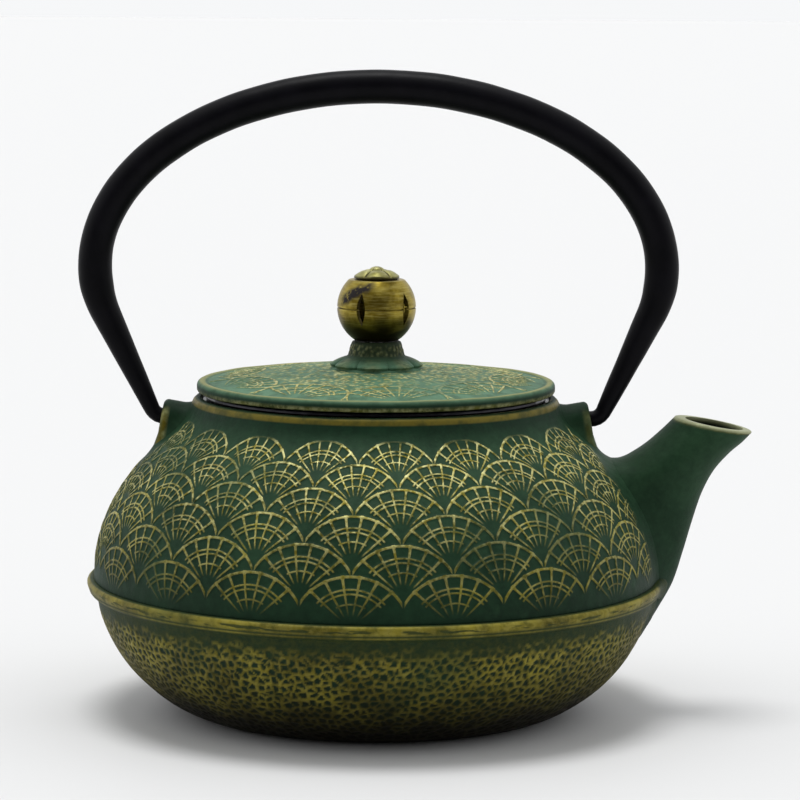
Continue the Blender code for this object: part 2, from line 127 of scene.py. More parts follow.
SPOUT_SECTIONS = [
    ((72.0, 26.0), (76.0, 23.6), 4.0),
    ((68.0, 31.0), (81.6, 30.4), 8.0),
    ((62.0, 39.0), (86.0, 37.0), 9.6),
    ((60.0, 49.5), (88.9, 46.0), 10.2),
    ((60.0, 60.0), (91.3, 54.5), 10.8),
    ((63.5, 69.5), (94.0, 63.0), 11.4),
    ((70.4, 72.8), (97.3, 69.6), 11.4),
    ((77.0, 76.9), (101.6, 74.7), 11.0),
    ((81.8, 81.0), (105.6, 78.2), 10.7),
    ((85.9, 85.0), (108.2, 80.9), 10.6),
]
CHANNEL_SECTIONS = [
    ((97.9, 87.0), 80.0, 8.6, 8.4),
    ((96.9, 82.0), 80.0, 8.4, 8.2),
    ((92.2, 76.6), 62.0, 7.6, 7.6),
    ((87.0, 71.0), 50.0, 7.4, 7.4),
    ((81.0, 65.2), 38.0, 7.2, 7.2),
    ((72.0, 60.5), 25.0, 7.0, 7.0),
    ((62.0, 56.5), 20.0, 7.0, 7.0),
]
SPOUT_FILLET = 6.0
LUG_FILLET = 3.0

# ---- the cast pattern
FANS_ROUND = 18
FAN_ROWS = 6
FAN_WIDTH = 25.0             # a fan's width on the flattened pattern, whatever the girth
FAN_RADIUS = 14.3
FAN_PITCH = 8.45
FIRST_FAN_TOP = 13.4         # distance up the wall from the flange
FAN_PHASE = 0.210            # turns the rows so that an even row's fan sits just left of the front
RIB_STEP = math.radians(18.0)
CRACKLE_CELL = 2.35
LID_FANS = 10
LID_FAN_ROOT = 47.6
LID_FAN_RADIUS = 14.8
LID_FAN_PHASE = 0.78
LINE_SOFT = 0.16             # how softly a line's edge falls in the gilding, in the bump and in the mesh
BUMP_SOFT = 0.30
RELIEF_SOFT = 0.34
FAN_RELIEF = 0.26            # heights of the raised patterns
LID_FAN_RELIEF = 0.24
CRACKLE_RELIEF = 0.24
SPECK_RELIEF = 0.16
POCK_RELIEF = 0.14
PETAL_TRIM = 0.105
PETAL_CREASE = 0.20
PETAL_TURN = 0.35
CAP_TURN = 0.6
SPECKS = 2600

# ---- seeds of the random patterns
SEED_CAST_BROAD, SEED_CAST_FINE, SEED_CAST_LOW, SEED_CAST_LID, SEED_CAST_BAIL = 3, 4, 5, 36, 8
SEED_CRACKLE, SEED_CRACKLE_EDGE = 11, 21
SEED_SPECKS, SEED_SPECK_EDGE, SEED_POCKS = 31, 33, 35
# The last seed wavers the edge of the painted shade low on the knob.
SEED_SCUFF, SEED_SHADE = 41, 42

# ---- how finely the surfaces are divided
DETAIL = 1.0
WALL_SPACING, WALL_SEGMENTS = 0.44 / DETAIL, int(1200 * DETAIL)
CRACKLE_SPACING, CRACKLE_SEGMENTS = 0.5 / DETAIL, int(1020 * DETAIL)
LID_SPACING, LID_SEGMENTS = 0.42 / DETAIL, int(720 * DETAIL)
INSIDE_SPACING = 2.0
SPOUT_SIDES = 96
CHANNEL_SIDES = 48
BAIL_SIDES = 36
PIN_HOLE_SIDES = 36
BALL_SEGMENTS = 180
CAP_SEGMENTS = 200
CAVITY_GROW = 0.9            # the spout and the lugs end this far inside the wall
BASKET_COLUMNS, BASKET_ROWS = 132, 16
CARRIED_NODES = ("infuser_rim", "infuser_bottom", "infuser_bottom_ring",
                 "knob_stud", "knob_washer", "knob_nut")
BASKET_BORDER = 1.4
BASKET_SHEET = 0.55
HOLE_SIDES = 12
HOLE_SIZE = 0.29             # a hole's radius as a share of its cell

# ---- colours
GREEN_DEEP = (0.0035, 0.0145, 0.0060)
GREEN = (0.0075, 0.0310, 0.0130)
# Worn green of scuffs, and also painted light: the lighter tone of the upper wall.
GREEN_WORN_AND_LIT = (0.026, 0.067, 0.031)
# Painted light: the much lighter green of the lid's lit top and rim.
LIT_LID_GREEN = (0.094, 0.196, 0.116)
OLIVE = (0.0120, 0.0140, 0.0018)
HAZE = (0.036, 0.046, 0.009)
UMBER = (0.0034, 0.0028, 0.0009)
GOLD_DEEP = (0.118, 0.095, 0.007)
GOLD = (0.310, 0.262, 0.030)
GOLD_PALE = (0.600, 0.580, 0.260)
GOLD_LIP = (0.135, 0.110, 0.016)
GOLD_RIM = (0.260, 0.265, 0.105)
RIM_PALE = (0.300, 0.320, 0.190)
KNOB_TONES = ((0.135, 0.096, 0.010), (0.39, 0.300, 0.046), (0.62, 0.54, 0.18))
CAP_TONES = ((0.190, 0.175, 0.045), (0.41, 0.39, 0.150), (0.60, 0.58, 0.30))
SCUFF = (0.020, 0.016, 0.016)
# Painted shade on the knob: under the cap, in the cap's creases and low on the ball.
KNOB_SHADE = (0.020, 0.014, 0.004)
ENAMEL_TONES = ((0.006, 0.006, 0.007), (0.016, 0.015, 0.016))
BAIL_TONES = ((0.0016, 0.0015, 0.0025), (0.0034, 0.0031, 0.0048))
BAIL_RUBBED = (0.050, 0.040, 0.030)
STEEL_TONES = ((0.36, 0.355, 0.34), (0.56, 0.555, 0.54))
# Painted shade: darkened steel for the infuser rim in the gap under the lid.
SHADED_STEEL_TONES = ((0.022, 0.021, 0.026), (0.052, 0.050, 0.056))
FLOOR_TONE = (0.680, 0.680, 0.680, 1.0)
SKY_TINT = (0.98, 0.99, 1.0, 1.0)
IRON_SHINE = 0.11
SATIN_SHINE = 0.20

# ---- studio and camera, in metres
FLOOR_HALF_SIZE = 14.0
SOFTBOXES = (("overhead_softbox", (-0.06, 0.08, 1.0), 26.0, 1.68),   # name, towards, spread, strength
             ("left_softbox", (-1.0, -0.12, 0.42), 60.0, 0.28),
             ("right_softbox", (1.0, -0.12, 0.42), 60.0, 0.28))
FRONT_BRIGHTNESS = 0.10
BACK_BRIGHTNESS = 0.945
CAMERA_DISTANCE = 1.02
CAMERA_HEIGHT = 0.213
AIM_HEIGHT = 0.0895
AIM_X = 0.0069
FOCAL_PER_METRE = 156.4
CAMERA_ROLL = 0.38


# ---- numbers that work in numpy and in nodes
class Num:
    """A number inside a material: arithmetic on it adds Math nodes to the tree."""

    def __init__(self, tree, socket):
        self.tree = tree
        self.socket = socket

    def op(self, operation, *others, clamp=False):
        node = self.tree.nodes.new("ShaderNodeMath")
        node.operation = operation
        node.use_clamp = clamp
        for slot, value in zip(node.inputs, (self,) + others):
            if isinstance(value, Num):
                self.tree.links.new(value.socket, slot)
            else:
                slot.default_value = float(value)
        return Num(self.tree, node.outputs[0])

    def __add__(self, other):
        return self.op("ADD", other)

    def __sub__(self, other):
        return self.op("SUBTRACT", other)

    def __mul__(self, other):
        return self.op("MULTIPLY", other)

    def __truediv__(self, other):
        return self.op("DIVIDE", other)

    def __rsub__(self, other):
        return self.op("MULTIPLY_ADD", -1.0, other)

    __radd__ = __add__
    __rmul__ = __mul__


def either(operation, numpy_function):
    def call(x, *others):
        if isinstance(x, Num):
            return x.op(operation, *others)
        return numpy_function(x, *others)
    return call


absolute = either("ABSOLUTE", np.abs)
fraction = either("FRACT", lambda x: x - np.floor(x))
ceiling = either("CEIL", np.ceil)
arctan2 = either("ARCTAN2", np.arctan2)
root = either("SQRT", np.sqrt)
larger = either("MAXIMUM", np.maximum)
less = either("LESS_THAN", lambda x, y: (x < y) * 1.0)


def ramp(low, high, x):
    """0 at low, 1 at high, straight in between and level outside."""
    t = (x - low) / (high - low)
    if isinstance(t, Num):
        return t.op("ADD", 0.0, clamp=True)
    return np.clip(t, 0.0, 1.0)


def line(distance, half_width, soft):
    """1 within half_width of a line, falling to 0 over soft."""
    return ramp(half_width + soft, half_width, absolute(distance))


# ---- patterns
def fan_lines(x, d, angle, radius, soft, arc_reach=12.0, spread_limit=0.90):
    """Raised lines of one fan, from the distance d and the angle about its root."""
    edge = radius - 0.5
    outer = line(d - edge, 0.26, soft) * ramp(arc_reach + 0.4, arc_reach, absolute(x))
    spread = absolute(angle)
    within = ramp(spread_limit + 0.02, spread_limit - 0.02, spread)
    rib_angle = (fraction(angle / RIB_STEP) - 0.5) * RIB_STEP
    across = absolute(rib_angle) * d
    rib_width = 0.12 + ramp(5.0, 14.0, d) * 0.15
    rib = ramp(1.0, 0.0, (across - rib_width) / soft) * within
    rib = rib * ramp(radius * 0.22, radius * 0.34, d) * less(d, radius)
    bead = ramp(0.50 + soft, 0.50, root(across * across + (d - edge) * (d - edge) * 0.5)) * within
    double = larger(line(d - radius * 0.725, 0.15, soft), line(d - radius * 0.640, 0.15, soft))
    inner = line(d - radius * 0.45, 0.14, soft) * ramp(spread_limit * 0.66, spread_limit * 0.60, spread)
    return reduce(larger, (outer, rib, bead, double * within, inner))


def wall_fans(turn, along, soft):
    """Staggered rows of fans; turn is the angle in turns, along the distance up the wall."""
    row = larger(ceiling((along - FIRST_FAN_TOP) / FAN_PITCH), 0.0)
    cells = []
    for extra in (0.0, 1.0):
        this_row = row + extra
        place = turn * FANS_ROUND + this_row * 0.5 + FAN_PHASE
        x = (fraction(place) - 0.5) * FAN_WIDTH
        y = along - FIRST_FAN_TOP - this_row * FAN_PITCH + FAN_RADIUS
        cells.append((x, y, root(x * x + y * y)))
    front, behind = cells
    covered = less(front[2], FAN_RADIUS)
    x, y, d = (behind[i] + (front[i] - behind[i]) * covered for i in range(3))
    lines = fan_lines(x, d, arctan2(x, y), FAN_RADIUS, soft)
    in_rows = less(row + 1.0 - covered, FAN_ROWS - 0.5)
    return lines * in_rows * ramp(1.0, 7.0, along) * ramp(55.2, 53.0, along)


def lid_fans(turn, radius, soft):
    """One ring of fans whose roots sit at the lid's rim and which open towards the knob."""
    place = turn * LID_FANS + LID_FAN_PHASE
    x = (fraction(place) - 0.5) * radius * (2 * math.pi / LID_FANS)
    y = LID_FAN_ROOT - radius
    d = root(x * x + y * y)
    lines = fan_lines(x, d, arctan2(x, y), LID_FAN_RADIUS, soft, 14.2, 1.16)
    return lines * less(d, LID_FAN_RADIUS) * ramp(48.2, 47.6, radius)


# ---- meshes
def lower_wall_radius(z):
    return LOWER_ARC_CENTRE[0] + np.sqrt(LOWER_ARC_RADIUS ** 2 - (z - LOWER_ARC_CENTRE[1]) ** 2)


def upper_wall_radius(z):
    return BELLY_RADIUS * np.sqrt(1.0 - ((z - BELLY_Z) / UPPER_HEIGHT) ** 2)


def neck_points(steps):
    start = np.array((upper_wall_radius(SHOULDER_Z), SHOULDER_Z))
    corner = np.array((MOUTH_RADIUS + 0.6, 83.6))
    end = np.array((MOUTH_RADIUS, MOUTH_TOP_Z - 1.6))
    t = np.linspace(0.0, 1.0, steps)[:, None]
    return start * (1 - t) ** 2 + corner * 2 * t * (1 - t) + end * t ** 2


def path_length(points):
    return np.concatenate([[0.0], np.cumsum(np.linalg.norm(np.diff(points, axis=0), axis=1))])


def resample(points, spacing):
    """Points evenly spaced along a polyline, about spacing apart."""
    points = np.asarray(points, float)
    length = path_length(points)
    count = max(int(round(length[-1] / spacing)), 1) + 1
    at = np.linspace(0.0, length[-1], count)
    return np.stack([np.interp(at, length, points[:, i]) for i in range(points.shape[1])], 1)


def smooth_curve(points, steps):
    """Catmull-Rom curve through the points, with steps spans between each pair."""
    points = np.asarray(points, float)
    ends = np.vstack([2 * points[0] - points[1], points, 2 * points[-1] - points[-2]])
    out = []
    for p0, p1, p2, p3 in zip(ends, ends[1:], ends[2:], ends[3:]):
        for t in np.arange(steps) / steps:
            out.append(0.5 * (2 * p1 + (p2 - p0) * t + (2 * p0 - 5 * p1 + 4 * p2 - p3) * t ** 2
                              + (3 * p1 - p0 - 3 * p2 + p3) * t ** 3))
    out.append(points[-1])
    return np.array(out)


def arc(centre, radius, start, end, steps):
    angle = np.radians(np.linspace(start, end, steps + 1))
    return np.stack([centre[0] + radius * np.cos(angle), centre[1] + radius * np.sin(angle)], 1)


def grid_faces(rows, columns, wrap_rows):
    """Quads over a grid whose columns wrap round, and whose rows do too if asked."""
    row = np.arange(rows if wrap_rows else rows - 1)[:, None]
    column = np.arange(columns)[None, :]
    below, after = (row + 1) % rows, (column + 1) % columns
    quads = np.stack([row * columns + column, row * columns + after,
                      below * columns + after, below * columns + column], -1)
    return quads.reshape(-1, 4)


def mesh_object(name, points, faces, slots=(), face_slots=None, sharp=40.0):
    mesh = bpy.data.meshes.new(name)
    mesh.from_pydata((np.asarray(points) * MM).tolist(), [], [list(f) for f in faces])
    mesh.validate()
    for mat in slots:
        mesh.materials.append(mat)
    if face_slots is not None:
        mesh.polygons.foreach_set("material_index", np.asarray(face_slots, np.int32))
    mesh.shade_smooth()
    mesh.set_sharp_from_angle(angle=math.radians(sharp))
    obj = bpy.data.objects.new(name, mesh)
    bpy.context.scene.collection.objects.link(obj)
    return obj


def add_attribute(obj, name, values):
    attribute = obj.data.attributes.new(name, "FLOAT", "POINT")
    attribute.data.foreach_set("value", np.asarray(values, np.float32))


def read(items, name, kind=np.float32):
    """Three values for each of a mesh's vertices or triangles."""
    flat = np.empty(len(items) * 3, kind)
    items.foreach_get(name, flat)
    return flat.reshape(-1, 3)


def coordinates(obj):
    return read(obj.data.vertices, "co").astype(float) / MM


def set_coordinates(obj, points):
    obj.data.vertices.foreach_set("co", (points * MM).astype(np.float32).ravel())
    obj.data.update()


def vertex_normals(obj):
    return read(obj.data.vertices, "normal").astype(float)


def around(radius, angle, z):
    """Points at a radius, an angle about the axis and a height."""
    height = np.broadcast_to(z, np.shape(radius * angle))
    return np.stack([radius * np.cos(angle), radius * np.sin(angle), height], -1)


def turn_grid(profile, segments):
    """Rows of points: each profile point (radius, z) turned about Z."""
    angle = 2 * np.pi * np.arange(segments) / segments
    return around(profile[:, :1], angle, profile[:, 1:])


def profile_normals(profile, closed):
    """Outward normals of an outline that runs up the outside and down the inside."""
    if closed:
        tangent = np.roll(profile, -1, 0) - np.roll(profile, 1, 0)
    else:
        tangent = np.gradient(profile, axis=0)
    normal = np.stack([tangent[:, 1], -tangent[:, 0]], 1)
    return normal / np.linalg.norm(normal, axis=1)[:, None]


def turned(name, profile, segments, closed, slots, relief=None, row_slots=None, sharp=40.0):
    """Closed body of revolution. relief(rows, turn) gives the push along the normal for the grid."""
    profile = np.asarray(profile, float)
    points = turn_grid(profile, segments)
    normals = turn_grid(profile_normals(profile, closed), segments)
    if relief is not None:
        points = points + normals * relief[..., None]
    rows = len(profile)
    faces = grid_faces(rows, segments, closed)
    face_slots = None if row_slots is None else np.repeat(row_slots[:len(faces) // segments], segments)
    flat = points.reshape(-1, 3)
    if not closed:
        flat, faces, face_slots = close_poles(flat, faces, face_slots, rows, segments)
    return mesh_object(name, flat, faces, slots, face_slots, sharp)


def close_poles(points, faces, face_slots, rows, segments):
    """Fill both ends of an open grid with a fan about the axis."""
    first = points[:segments].mean(0)
    last = points[-segments:].mean(0)
    count = len(points)
    points = np.vstack([points, first, last])
    column = np.arange(segments)
    after = (column + 1) % segments
    base = (rows - 1) * segments
    low = [[count, int(b), int(a)] for a, b in zip(column, after)]
    high = [[count + 1, int(base + a), int(base + b)] for a, b in zip(column, after)]
    if face_slots is not None:
        ends = [np.full(segments, face_slots[i]) for i in (0, -1)]
        face_slots = np.concatenate([face_slots, *ends])
    return points, faces.tolist() + low + high, face_slots


def loft(name, rings, slots=(), sharp=50.0):
    """Closed solid through rings of equal length, with flat ends."""
    rings = np.asarray(rings, float)
    rows, segments = rings.shape[:2]
    sides = grid_faces(rows, segments, False)
    points, faces, _ = close_poles(rings.reshape(-1, 3), sides, None, rows, segments)
    obj = mesh_object(name, points, faces, slots, None, sharp)
    face_outward(obj)
    return obj


def face_outward(obj):
    """Turn the faces round if the closed mesh encloses a negative volume."""
    mesh = obj.data
    mesh.calc_loop_triangles()
    a, b, c = coordinates(obj)[read(mesh.loop_triangles, "vertices", np.int32)].transpose(1, 0, 2)
    if np.einsum("ij,ij->i", a, np.cross(b, c)).sum() < 0:
        mesh.flip_normals()


def cut_away(obj, cutter):
    """Take the cutter's volume out of a piece."""
    modifier = obj.modifiers.new("cut", "BOOLEAN")
    modifier.operation = "DIFFERENCE"
    modifier.solver = "MANIFOLD"
    modifier.object = cutter
    depsgraph = bpy.context.evaluated_depsgraph_get()
    mesh = bpy.data.meshes.new_from_object(obj.evaluated_get(depsgraph), depsgraph=depsgraph)
    obj.modifiers.clear()
    obj.data = mesh


def discard(*objects):
    for obj in objects:
        bpy.data.objects.remove(obj, do_unlink=True)


def section(centre, half_length, half_width, direction, sides):
    angle = 2 * np.pi * np.arange(sides) / sides
    along = half_length * np.cos(angle)
    return np.stack([centre[0] + along * direction[0], half_width * np.sin(angle),
                     centre[1] + along * direction[1]], 1)


def seeded_points(spacing, seed, low_z, high_z, radius_at):
    """Points on a surface of revolution: rings about spacing apart, each point nudged at random."""
    random = np.random.default_rng(seed)
    points = []
    for z in np.arange(low_z, high_z, spacing * 0.87):
        count = int(2 * np.pi * radius_at(z) / spacing)
        angle = (np.arange(count) + random.uniform(-0.38, 0.38, count)) * 2 * np.pi / count
        height = z + random.uniform(-0.40, 0.40, count) * spacing
        points.append(around(radius_at(height), angle, height))
    return np.vstack(points)


def cell_edges(points, seeds):
    """For each point, the distance to its nearest seed and to the border between the two nearest."""
    tree = KDTree(len(seeds))
    for i, seed in enumerate(seeds):
        tree.insert(seed, i)
    tree.balance()
    nearest = np.empty(len(points))
    border = np.empty(len(points))
    for i, point in enumerate(points):
        (p1, _, d1), (p2, _, d2) = tree.find_n(point, 2)
        nearest[i] = d1
        border[i] = (d2 * d2 - d1 * d1) / (2.0 * max((p2 - p1).length, 0.2))
    return nearest, border


def wavy(points, size, seed):
    """Smooth wandering value between -1 and 1: a few seeded waves in different directions."""
    random = np.random.default_rng(seed)
    total = np.zeros(len(points))
    for _ in range(9):
        direction = random.normal(size=3)
        direction /= np.linalg.norm(direction)
        pace = 2 * np.pi / size * random.uniform(0.6, 1.6)
        total += np.sin(points @ direction * pace + random.uniform(0, 6.28))
    return np.clip(total / 3.5, -1.0, 1.0)


# ---- materials
class Shader:
    """A node material with its Principled shader, and short ways to add textures to it."""

    def __init__(self, name, shine=IRON_SHINE):
        self.material = bpy.data.materials.new(name)
        self.material.use_nodes = True
        self.tree = self.material.node_tree
        self.principled = self.tree.nodes["Principled BSDF"]
        self.set("Specular IOR Level", shine)
        self.where = self.node("TexCoord").outputs["Object"]

    def feed(self, slot, value):
        """Give a node's input a constant, or link it to a number, a colour or a vector."""
        if isinstance(value, Num):
            value = value.socket
        if isinstance(value, bpy.types.NodeSocket):
            self.tree.links.new(value, slot)
        else:
            slot.default_value = value

    def node(self, kind, **inputs):
        node = self.tree.nodes.new("ShaderNode" + kind)
        for name, value in inputs.items():
            self.feed(node.inputs[name], value)
        return node

    def set(self, socket, value):
        self.feed(self.principled.inputs[socket], value)

    def coordinate(self):
        """Object coordinates in millimetres, as three numbers."""
        return [Num(self.tree, out) / MM for out in self.node("SeparateXYZ", Vector=self.where).outputs]

    def attribute(self, name):
        node = self.node("Attribute")
        node.attribute_name = name
        return Num(self.tree, node.outputs["Fac"])

    def noise(self, size, detail=3.0, rough=0.55, stretch=(1.0, 1.0, 1.0)):
        """Noise between about 0.3 and 0.7 with features of the given size in millimetres."""
        place = self.node("Mapping", Vector=self.where, Scale=stretch).outputs[0]
        node = self.node("TexNoise", Vector=place, Scale=1.0 / (size * MM), Detail=detail, Roughness=rough)
        return Num(self.tree, node.outputs["Fac"])

    def mix(self, factor, first, second):
        """Colour between first and second, each a colour or another mix."""
        node = self.node("Mix")
        node.data_type = "RGBA"
        for slot, value in zip((0, 6, 7), (factor, first, second)):
            self.feed(node.inputs[slot], (*value, 1.0) if isinstance(value, tuple) else value)
        return node.outputs[2]

    def bump(self, height, distance):
        """Bump in millimetres, added on top of any bump made before."""
        node = self.node("Bump", Strength=1.0, Distance=distance * MM, Height=height)
        for link in self.principled.inputs["Normal"].links:
            self.feed(node.inputs["Normal"], link.from_socket)
        self.set("Normal", node.outputs[0])


def green_lacquer(shader, lightness=0.0):
    """Mottled green lacquer on cast iron, with painted light: lighter towards the top of the pot, and painted
    shade darkening the neck under the lip.
    """
    _, _, z = shader.coordinate()
    height = ramp(30.0, 90.0, z)
    broad = shader.noise(26.0, 4.0, 0.6)
    fine = shader.noise(2.4, 4.0, 0.65)
    tone = ramp(0.36, 0.66, broad * 0.55 + fine * 0.45 + height * 0.05 + lightness)
    low = shader.mix(tone, GREEN_DEEP, GREEN)
    high = shader.mix(tone, GREEN, GREEN_WORN_AND_LIT)
    # Painted light and shade: the lighter tone rises with height and falls back on the neck under the lip.
    base = shader.mix(height * ramp(87.0, 81.0, z), low, high)
    scuffed = ramp(0.58, 0.74, shader.noise(5.5, 5.0, 0.7)) * 0.35
    return shader.mix(scuffed, base, GREEN_WORN_AND_LIT)


def cast_grain(shader, depth=0.10):
    shader.bump(shader.noise(1.1, 5.0, 0.7), depth)
    shader.bump(shader.noise(4.5, 2.0, 0.5), depth * 1.6)


def gilded(shader, base, mask, strength=1.0):
    """Gold rubbed on the raised lines: worn through in places, and paler towards the top as painted light."""
    _, _, z = shader.coordinate()
    height = ramp(38.0, 84.0, z)
    wear = ramp(0.30, 0.52, shader.noise(3.2, 4.0, 0.6))
    rubbed_off = ramp(0.56, 0.66, shader.noise(30.0, 2.0, 0.5))
    tone = ramp(0.35, 0.68, shader.noise(14.0, 3.0, 0.55))
    gold = shader.mix(tone, GOLD_DEEP, GOLD)
    # Painted light: higher up, the gold is paler and covers more, as if lit from above.
    pale = ramp(0.40, 0.62, shader.noise(1.6, 3.0, 0.6)) * (0.08 + 0.92 * height)
    gold = shader.mix(pale, gold, GOLD_PALE)
    cover = mask * (0.42 + 0.58 * wear) * (1.0 - rubbed_off * 0.60) * (0.68 + 0.44 * height) * strength
    return shader.mix(cover, base, gold), cover


def finish_iron(shader, colour, cover):
    shader.set("Base Color", colour)
    shader.set("Roughness", 0.52 + cover * -0.12 + shader.noise(3.0) * 0.10)
    shader.set("Metallic", cover * 0.30)


def wall_material():
    """Green iron with gilded fans, for the wall above the flange."""
    shader = Shader("fan_wall_iron")
    x, y, _ = shader.coordinate()
    turn = arctan2(y, x) / (2 * math.pi) + 1.0
    along = shader.attribute("along")
    plain = shader.attribute("plain")
    fans = wall_fans(turn, along, LINE_SOFT) * (1.0 - plain)
    colour, cover = gilded(shader, green_lacquer(shader), fans)
    lip = shader.attribute("gild") * (0.5 + 0.5 * ramp(0.35, 0.55, shader.noise(4.0, 3.0)))
    finish_iron(shader, shader.mix(lip, colour, GOLD_LIP), larger(cover, lip))
    cast_grain(shader)
    shader.bump(wall_fans(turn, along, BUMP_SOFT) * (1.0 - plain), 0.16)
    return shader.material


def crackle_material():
    """Green iron with a raised gold network, for the flange and the wall below it."""
    shader = Shader("crackle_wall_iron")
    _, _, z = shader.coordinate()
    wash = ramp(33.0, 20.0, z) * ramp(0.35, 0.60, shader.noise(3.0, 4.0, 0.65)) * 0.5
    haze = ramp(27.0, 30.0, z) * (0.25 + 0.5 * ramp(0.40, 0.60, shader.noise(1.5, 4.0, 0.7)))
    green = shader.mix(wash, shader.mix(haze, green_lacquer(shader), HAZE), OLIVE)
    streak = ramp(0.50, 0.58, shader.noise(7.0, 3.0, 0.6, (1.0, 1.0, 6.0))) * line(z - 36.9, 0.35, 0.4)
    mask = larger(shader.attribute("gild"), shader.attribute("rim") * (1.0 - streak * 0.85))
    colour, cover = gilded(shader, green, mask, 1.28)
    # Painted shade: the wall darkens to umber towards the base, under the belly, and loses its gold there.
    base_shade = ramp(23.0, 6.0, z + (shader.noise(9.0) - 0.5) * 12.0)
    finish_iron(shader, shader.mix(base_shade * 0.96, colour, UMBER), cover * (1.0 - base_shade))
    cast_grain(shader)
    return shader.material


def plain_iron_material(name, lightness=0.0):
    """Green iron with pale gold rubbed along the edges that the piece's gild attribute marks."""
    shader = Shader(name)
    rubbed = shader.attribute("gild") * (0.55 + 0.45 * ramp(0.38, 0.56, shader.noise(2.6, 4.0, 0.6)))
    gold = shader.mix(ramp(0.42, 0.60, shader.noise(5.0, 3.0)), GOLD_DEEP, GOLD_RIM)
    colour = shader.mix(rubbed, green_lacquer(shader, lightness), gold)
    colour = shader.mix(shader.attribute("worn_rim") * (0.55 + 0.35 * rubbed), colour, RIM_PALE)
    colour = shader.mix(shader.attribute("bore") * 0.9, colour, UMBER)
    finish_iron(shader, colour, rubbed)
    cast_grain(shader)
    return shader.material


def lid_material():
    """Lid iron: green with fans round the rim and specks towards the knob; the dome and the top of the rim
    are a much lighter green as painted light.
    """
    shader = Shader("fan_lid_iron")
    x, y, z = shader.coordinate()
    turn = arctan2(y, x) / (2 * math.pi) + 1.0
    radius = root(x * x + y * y)
    on_dome = shader.attribute("dome")
    fans = lid_fans(turn, radius, LINE_SOFT) * on_dome
    mask = larger(fans, shader.attribute("gild"))
    # Painted light: the upward-facing dome and top of the rim take a lighter green, as if lit from above.
    bright = ramp(0.30, 0.60, shader.noise(4.0, 4.0, 0.6)) * 0.5 + 0.5
    green = shader.mix(bright * larger(on_dome, shader.attribute("rim")), green_lacquer(shader), LIT_LID_GREEN)
    colour, cover = gilded(shader, green, mask, 0.9)
    colour = shader.mix(shader.attribute("edge") * (0.60 + 0.35 * bright), colour, GOLD_RIM)
    colour = shader.mix(ramp(100.6, 103.0, z) * (1.0 - cover * 0.6) * 0.85, colour, OLIVE)
    finish_iron(shader, colour, cover)
    cast_grain(shader, 0.12)
    shader.bump(lid_fans(turn, radius, BUMP_SOFT) * on_dome, 0.16)
    return shader.material


def enamel_material():
    """Black enamel inside the pot, slightly pebbled."""
    shader = Shader("black_enamel", SATIN_SHINE)
    tone = ramp(0.4, 0.65, shader.noise(12.0, 3.0))
    shader.set("Base Color", shader.mix(tone, *ENAMEL_TONES))
    shader.set("Roughness", 0.16 + shader.noise(2.5, 4.0) * 0.22)
    shader.set("Coat Weight", 0.35)
    shader.set("Coat Roughness", 0.12)
    shader.bump(shader.noise(3.0, 3.0), 0.12)
    return shader.material


def bail_material():
    """Satin black lacquer on steel, a little rubbed at the ends."""
    shader = Shader("satin_black_lacquer", 0.07)
    tone = ramp(0.38, 0.68, shader.noise(9.0, 4.0, 0.6))
    base = shader.mix(tone, *BAIL_TONES)
    _, _, z = shader.coordinate()
    rubbed = ramp(0.60, 0.72, shader.noise(2.2, 5.0, 0.7)) * ramp(94.0, 84.0, z) * 0.35
    shader.set("Base Color", shader.mix(rubbed, base, BAIL_RUBBED))
    shader.set("Roughness", 0.33 + shader.noise(5.0, 4.0) * 0.16)
    shader.set("Metallic", rubbed * 0.5)
    shader.bump(shader.noise(2.6, 3.0), 0.05)
    shader.bump(shader.noise(0.8, 3.0), 0.02)
    return shader.material


def knob_material(name, dark, middle, light):
    """Aged gold: brushed round the axis, browner in patches, with scuffs and painted shade where marked."""
    shader = Shader(name, SATIN_SHINE)
    brushed = shader.noise(1.4, 3.0, 0.6, (0.25, 0.25, 3.0))
    gold = shader.mix(ramp(0.40, 0.64, shader.noise(7.0, 4.0, 0.6)), dark, middle)
    gold = shader.mix(ramp(0.46, 0.66, brushed) * 0.30, gold, light)
    torn = shader.attribute("scuff") * ramp(0.36, 0.47, shader.noise(1.7, 5.0, 0.7))
    colour = shader.mix(torn, gold, SCUFF)
    # Painted shade: the colour darkens where the attribute marks shade on the knob.
    shader.set("Base Color", shader.mix(shader.attribute("painted_shade"), colour, KNOB_SHADE))
    shader.set("Roughness", 0.30 + brushed * 0.16 + torn * 0.25)
    shader.set("Metallic", 0.92 - torn * 0.75)
    shader.bump(brushed, 0.02)
    shader.bump(torn, 0.06)
    return shader.material


def steel_material(name, dark, light):
    """Brushed stainless steel between two tones."""
    shader = Shader(name, SATIN_SHINE)
    shader.set("Metallic", 1.0)
    brushed = shader.noise(0.9, 3.0, 0.6, (0.3, 0.3, 3.0))
    shader.set("Base Color", shader.mix(ramp(0.40, 0.62, brushed), dark, light))
    shader.set("Roughness", 0.22 + brushed * 0.22)
    shader.bump(brushed, 0.015)
    return shader.material


